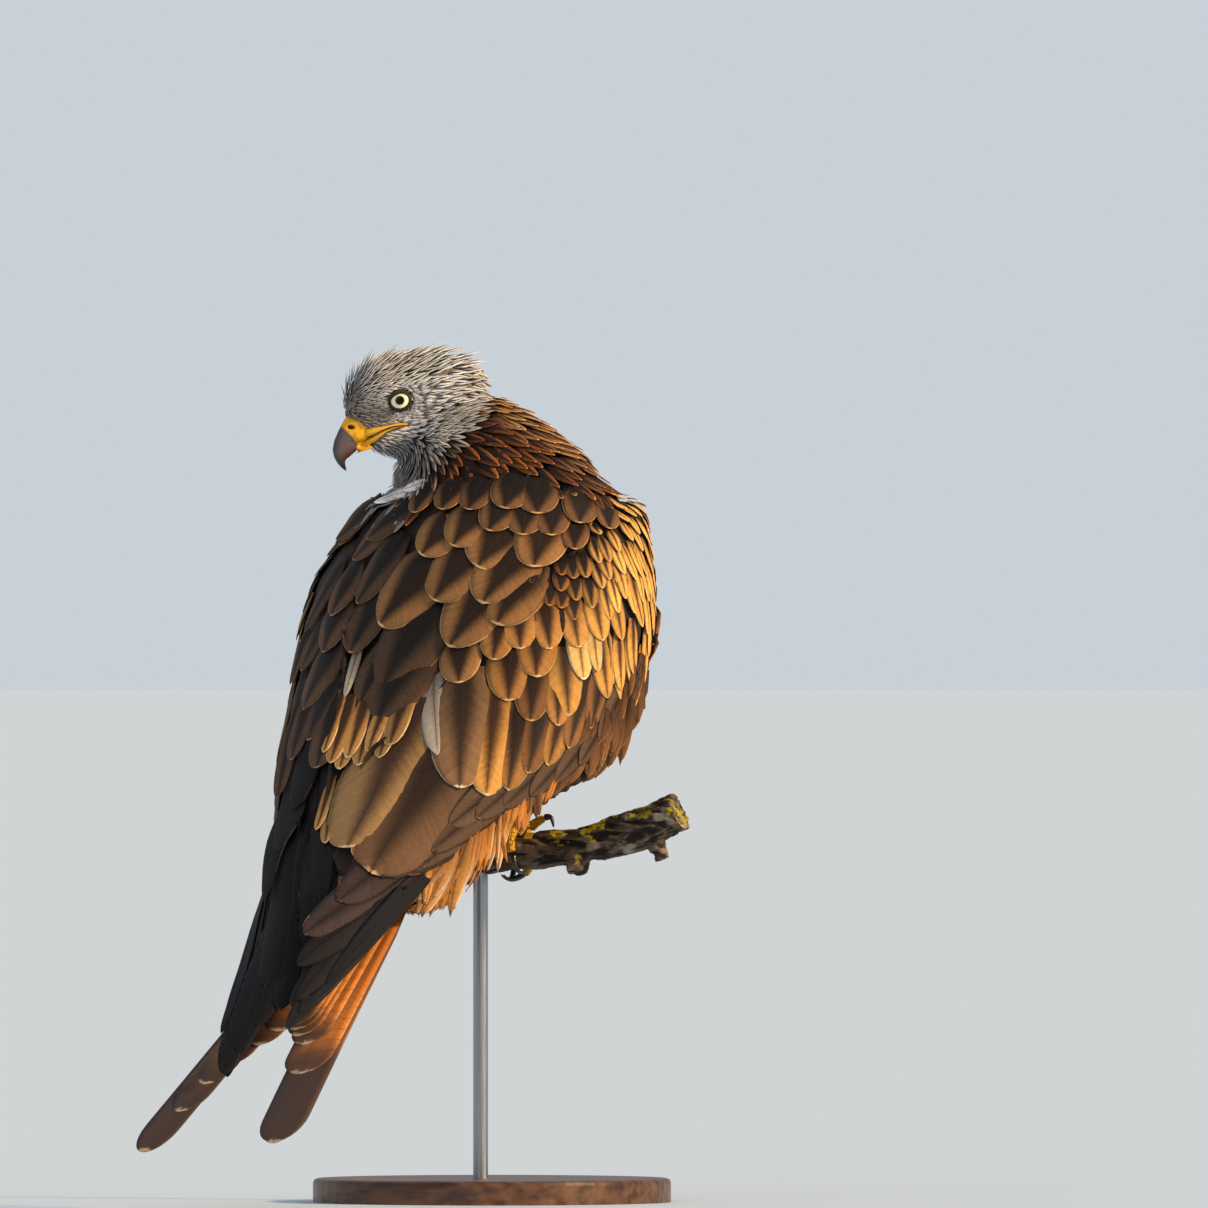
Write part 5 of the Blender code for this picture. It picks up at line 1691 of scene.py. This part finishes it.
def place_plumes(name, mirror):
    """Bunches of loose straight strands side by side, on the right or mirrored on the left."""
    starts, flows, lengths, widths, tones, marks = [], [], [], [], [], []
    steps = vane_steps(10)[:, None, None]
    for tip_x, tip_y, long, wide, slope, tone in PLUMES * STRANDS:
        turn = math.radians(slope + 9 * (dice.random() - 0.5))
        aside = wide * (dice.random() - 0.5)
        root = seen_at(tip_x + long * math.sin(turn) + aside, tip_y - long * math.cos(turn), form)
        way = -UP * math.cos(turn) - view_right * math.sin(turn)
        starts.append(root * (mirror, 1, 1))
        flows.append(way * (mirror, 1, 1))
        lengths.append(long * PIXEL * (0.72 + 0.36 * dice.random()))
        widths.append(wide * PIXEL * (0.6 + 0.4 * dice.random()))
        tones.append([paint(code) * (0.8 + 0.4 * dice.random()) for code in PAINTS[tone][0]])
        marks.append(PAINTS[tone][1])
    tones, marks = np.clip(np.array(tones), 0, 1), np.array(marks)
    starts, flows, lengths = np.array(starts), np.array(flows), np.array(lengths)
    facing = -view_ahead * (mirror, 1, 1)
    aside = np.cross(flows, facing) * (dice.random((len(starts), 1)) - 0.5) * 0.3
    spines = starts + (flows * steps + aside * steps**2) * lengths[:, None]
    facing = unit(facing + 0.8 * (dice.random((len(starts), 3)) - 0.5))
    return make_vanes(
        name, form, starts, flows, lengths, np.array(widths),
        (tones[:, 0], tones[:, 1], tones[:, 2]), (marks[:, 0], marks[:, 1]), stations=10, columns=4,
        root=-1.0, tip=1.0 + 3.0 * dice.random(len(starts)), tip_start=0.45, tip_power=1.7, camber=0.2,
        thick=0.35, fray=0.10, spines=(spines, np.broadcast_to(facing, spines.shape)),
    )


for label, mirror in (("right", 1), ("left", -1)):
    place(place_plumes("plumes_" + label, mirror), contour_finish, "rufous_feathers")

# The feet are bare yellow skin with small scales, one surface over the toes, the soles and the legs.
# The claws are black horn with a dull shine.

LEG_VOXEL = 0.8 * MM
CLAW_VOXEL = 0.4 * MM
TOE_NAMES = ("inner_toe", "middle_toe", "outer_toe", "hind_toe")
TOES = [side + "_" + name for side in ("left", "right") for name in TOE_NAMES]
leg_nodes = TOES + ["sole_left", "sole_right", "tarsus_left", "tarsus_right"]
legs = moulded("feet", leg_nodes, LEG_VOXEL, 4)
leg_finish, tree, shader = finish("scaled_skin", 0.45, Specular_IOR_Level=0.4)
scales = add(tree, "TexVoronoi", feature="DISTANCE_TO_EDGE")
scales.inputs["Scale"].default_value = 420
join(tree, own_place(tree), scales.inputs["Vector"])
rims = soften(tree, scales.outputs["Distance"], 0.0, 0.12)
patches = soften(tree, noise(tree, 240), 0.4, 0.7)
mottled = blend_colours(tree, patches, paint("e8ae1c"), paint("c88a14"))
join(tree, blend_colours(tree, rims, paint("7a4a10"), mottled), shader.inputs["Base Color"])
raise_surface(tree, shader, rims, 0.35)
legs.data.shade_smooth()
place(legs, leg_finish, "leg_yellow", *leg_nodes)

claw_nodes = [node.replace("toe", "claw") for node in TOES]
claws = moulded("claws", claw_nodes, CLAW_VOXEL, 3)
claw_finish, tree, shader = finish("claw_horn", 0.28, Specular_IOR_Level=0.55)
tones = blend_colours(tree, noise(tree, 300), paint("0c0a0a"), paint("2c2422"))
join(tree, tones, shader.inputs["Base Color"])
raise_surface(tree, shader, noise(tree, 700, 4.0), 0.1)
claws.data.shade_smooth()
place(claws, claw_finish, "claw", *claw_nodes)

# The branch: rough furrowed bark, grey and brown, with yellow-green lichen on its upper side and pale
# wood at the cut ends.

BARK_VOXEL = 1.2 * MM
CUT_DEPTH = 9

perch = moulded("perch", ("perch_branch",), BARK_VOXEL, 3)
points, _ = mesh_arrays(perch.data)
perch.data.calc_loop_triangles()
outward = np.array([vert.normal for vert in perch.data.vertices])
ends_low, ends_high = points[:, 0].min(), points[:, 0].max()
flat_end = smooth_step(0.90, 0.98, np.abs(outward[:, 0])) * (
    (points[:, 0] < ends_low + CUT_DEPTH) | (points[:, 0] > ends_high - CUT_DEPTH))
furrows = np.array([
    fractal(Vector((p[0] * 0.03, p[1] * 0.16, p[2] * 0.16)), 1.0, 2.0, 4) for p in points])
knots = np.array([fractal(Vector(p) * 0.07 + Vector((7, 3, 1)), 1.0, 2.0, 2) for p in points])
height = (-1.4 * smooth_step(0.02, 0.45, np.abs(furrows)) + 0.9 * knots) * (1 - flat_end) + 0.35
points += outward * np.clip(height, -1.6, 0.9)[:, None]
set_points(perch.data, points)
store(perch.data, "wood_end", flat_end)
store(perch.data, "furrow", np.abs(furrows))
perch.data.shade_smooth()


def drawn_out(tree, scale, detail, squeeze):
    """Noise drawn out along one axis, as the grain of wood or brushed steel is."""
    stretch = add(tree, "Mapping")
    stretch.inputs["Scale"].default_value = squeeze
    join(tree, own_place(tree), stretch.inputs["Vector"])
    return noise(tree, scale, detail, stretch.outputs[0])


bark, tree, shader = finish("bark", 0.85, Specular_IOR_Level=0.3)
grain = drawn_out(tree, 220, 6.0, (0.22, 1.0, 1.0))
ridges = soften(tree, grain, 0.35, 0.65)
bark_tone = blend_colours(tree, ridges, paint("2c221a"), paint("6b5a48"))
grey_patches = soften(tree, noise(tree, 60, 5.0), 0.52, 0.66)
bark_tone = blend_colours(tree, grey_patches, bark_tone, paint("8c8070"))
furrow = stored(tree, "furrow")["Fac"]
bark_tone = blend_colours(tree, soften(tree, furrow, 0.15, 0.5), bark_tone, paint("1c1510"))
normal_up = add(tree, "SeparateXYZ")
join(tree, add(tree, "NewGeometry").outputs["Normal"], normal_up.inputs[0])
lichen = reckon(tree, "MULTIPLY_ADD", normal_up.outputs[2], 0.16, noise(tree, 90, 6.0))
lichen_share = soften(tree, lichen, 0.62, 0.70)
lichen_tone = blend_colours(tree, noise(tree, 500, 4.0), paint("6a7a18"), paint("d8b820"))
bark_tone = blend_colours(tree, lichen_share, bark_tone, lichen_tone)
wood = stored(tree, "wood_end")["Fac"]
rings = add(tree, "TexWave", wave_type="RINGS", rings_direction="X")
rings.inputs["Scale"].default_value = 130
rings.inputs["Distortion"].default_value = 3
join(tree, own_place(tree), rings.inputs["Vector"])
wood_tone = blend_colours(tree, rings.outputs["Fac"], paint("a88a60"), paint("d0b488"))
join(tree, blend_colours(tree, wood, bark_tone, wood_tone), shader.inputs["Base Color"])
bark_height = reckon(tree, "ADD", grain, reckon(tree, "MULTIPLY", lichen_share, 0.8))
raise_surface(tree, shader, bark_height, 0.9)
place(perch, bark, "bark", "perch_branch")

# The stand: a turned wooden base with a satin finish, and a brushed steel rod. Both keep the solids'
# own shapes.

wood_finish, tree, shader = finish("stand_wood", 0.35, Specular_IOR_Level=0.45)
grain = drawn_out(tree, 130, 6.0, (0.12, 1.0, 1.0))
grain_tone = blend_colours(tree, soften(tree, grain, 0.3, 0.7), paint("3a2416"), paint("6e4a2e"))
join(tree, grain_tone, shader.inputs["Base Color"])
raise_surface(tree, shader, grain, 0.12)
steel_finish, tree, shader = finish("stand_steel", 0.32, Metallic=1.0)
brushed = drawn_out(tree, 2200, 3.0, (1.0, 1.0, 0.02))
steel_tone = blend_colours(tree, brushed, paint("8c8f93"), paint("b4b7ba"))
join(tree, steel_tone, shader.inputs["Base Color"])
join(tree, reckon(tree, "MULTIPLY_ADD", brushed, 0.2, 0.22), shader.inputs["Roughness"])
for node, made in (("stand_base", wood_finish), ("stand_rod", steel_finish)):
    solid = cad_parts[node]
    solid.data.materials.clear()
    solid.data.materials.append(made)

# The skin shows only in the gaps of the coat. It is sunk by the coat's depth and painted to match, and
# it is darker under the dark feathers of the back. Its dark tones are partly the down's own colour and
# partly painted shade in the gaps.

depth_of = np.array([COAT_DEPTH[node] for node in FLESH])
vertex_flesh = nearest_flesh(form_points)
bm = bmesh.new()
bm.from_mesh(skin.data)
bm.normal_update()
bm.verts.ensure_lookup_table()
for vert, number in zip(bm.verts, vertex_flesh):
    vert.co -= vert.normal * depth_of[number] * MM
bmesh.ops.smooth_vert(bm, verts=bm.verts, factor=0.5, use_axis_x=True, use_axis_y=True, use_axis_z=True)
bm.to_mesh(skin.data)
bm.free()
skin.data.shade_smooth()
# Painted shade in part: these tones are dark so that the coat's gaps read as shade.
SKIN_AND_SHADE_TONES = {"head": "7c7268", "neck": "2e1a10", "trunk": "6a3a1c", "thigh_left": "7a431e",
              "thigh_right": "7a431e", "wing_left": "2c1e16", "wing_right": "2c1e16"}
tone = np.array([paint(SKIN_AND_SHADE_TONES[node]) for node in FLESH])[vertex_flesh]
under_back = smooth_step(-20, 25, form_points[:, 1]) * (form_points[:, 2] > 290)
under_back *= vertex_flesh == FLESH.index("trunk")
store_colour(skin.data, "skin_tone", mix(tone, paint("2c1e16"), under_back))
skin_finish, tree, shader = finish("down_skin_and_shade", 0.85)
speckled(tree, shader, noise(tree, 500, 4.0), 0.9, 0.5)
raise_surface(tree, shader, noise(tree, 900, 3.0), 0.5)
place(skin, skin_finish, "rufous_feathers", *FLESH)

# The stage: a wide pale floor, an even pale sky, a warm low key light from the photograph's right,
# and a cool soft fill. The camera stands level and far off, as the long lens did.

CAMERA_DISTANCE = 20.0
FRAME_PIXELS = 1208

camera = bpy.data.cameras.new("camera")
camera.lens = camera.sensor_width / (FRAME_PIXELS * PIXEL * MM) * CAMERA_DISTANCE
camera.clip_end = 200
viewer = bpy.data.objects.new("camera", camera)
bpy.context.scene.collection.objects.link(viewer)
half_frame = FRAME_PIXELS / 2
aim = (view_right * (half_frame - VIEW_ORIGIN[0]) + UP * (VIEW_ORIGIN[1] - half_frame)) * PIXEL * MM
viewer.location = Vector(aim - view_ahead * CAMERA_DISTANCE)
viewer.rotation_euler = Vector(view_ahead).to_track_quat("-Z", "Y").to_euler()
bpy.context.scene.camera = viewer

FLOOR_RADIUS = 120.0
bm = bmesh.new()
bmesh.ops.create_circle(bm, cap_ends=True, segments=96, radius=FLOOR_RADIUS)
floor = piece_from(bm, "floor")
floor_finish, tree, shader = finish("floor", 0.9)
shader.inputs["Base Color"].default_value = (*paint("d6e8f8"), 1)
floor.data.materials.append(floor_finish)

sky = bpy.data.worlds.new("studio")
bpy.context.scene.world = sky
sky.use_nodes = True
backdrop = sky.node_tree.nodes["Background"]
backdrop.inputs["Color"].default_value = (*paint("c9d1d8"), 1)
soft_light = add(sky.node_tree, "Background")
soft_light.inputs["Color"].default_value = (*paint("d4d8e0"), 1)
soft_light.inputs["Strength"].default_value = 0.62
chosen = add(sky.node_tree, "MixShader")
join(sky.node_tree, add(sky.node_tree, "LightPath").outputs["Is Camera Ray"], chosen.inputs[0])
join(sky.node_tree, soft_light.outputs[0], chosen.inputs[1])
join(sky.node_tree, backdrop.outputs[0], chosen.inputs[2])
join(sky.node_tree, chosen.outputs[0], sky.node_tree.nodes["World Output"].inputs["Surface"])
bpy.context.scene.view_settings.view_transform = "Standard"


def sun(name, towards, colour, strength, softness):
    lamp = bpy.data.lights.new(name, "SUN")
    lamp.color = paint(colour)
    lamp.energy = strength
    lamp.angle = math.radians(softness)
    light = bpy.data.objects.new(name, lamp)
    light.rotation_euler = Vector(towards).to_track_quat("-Z", "Y").to_euler()
    bpy.context.scene.collection.objects.link(light)


sun("key", -view_right * 0.86 + view_ahead * 0.46 - UP * 0.42, "ffdcae", 4.0, 8)
sun("fill", view_right * 0.4 + view_ahead * 0.9 - UP * 0.4, "e6ecff", 0.35, 40)
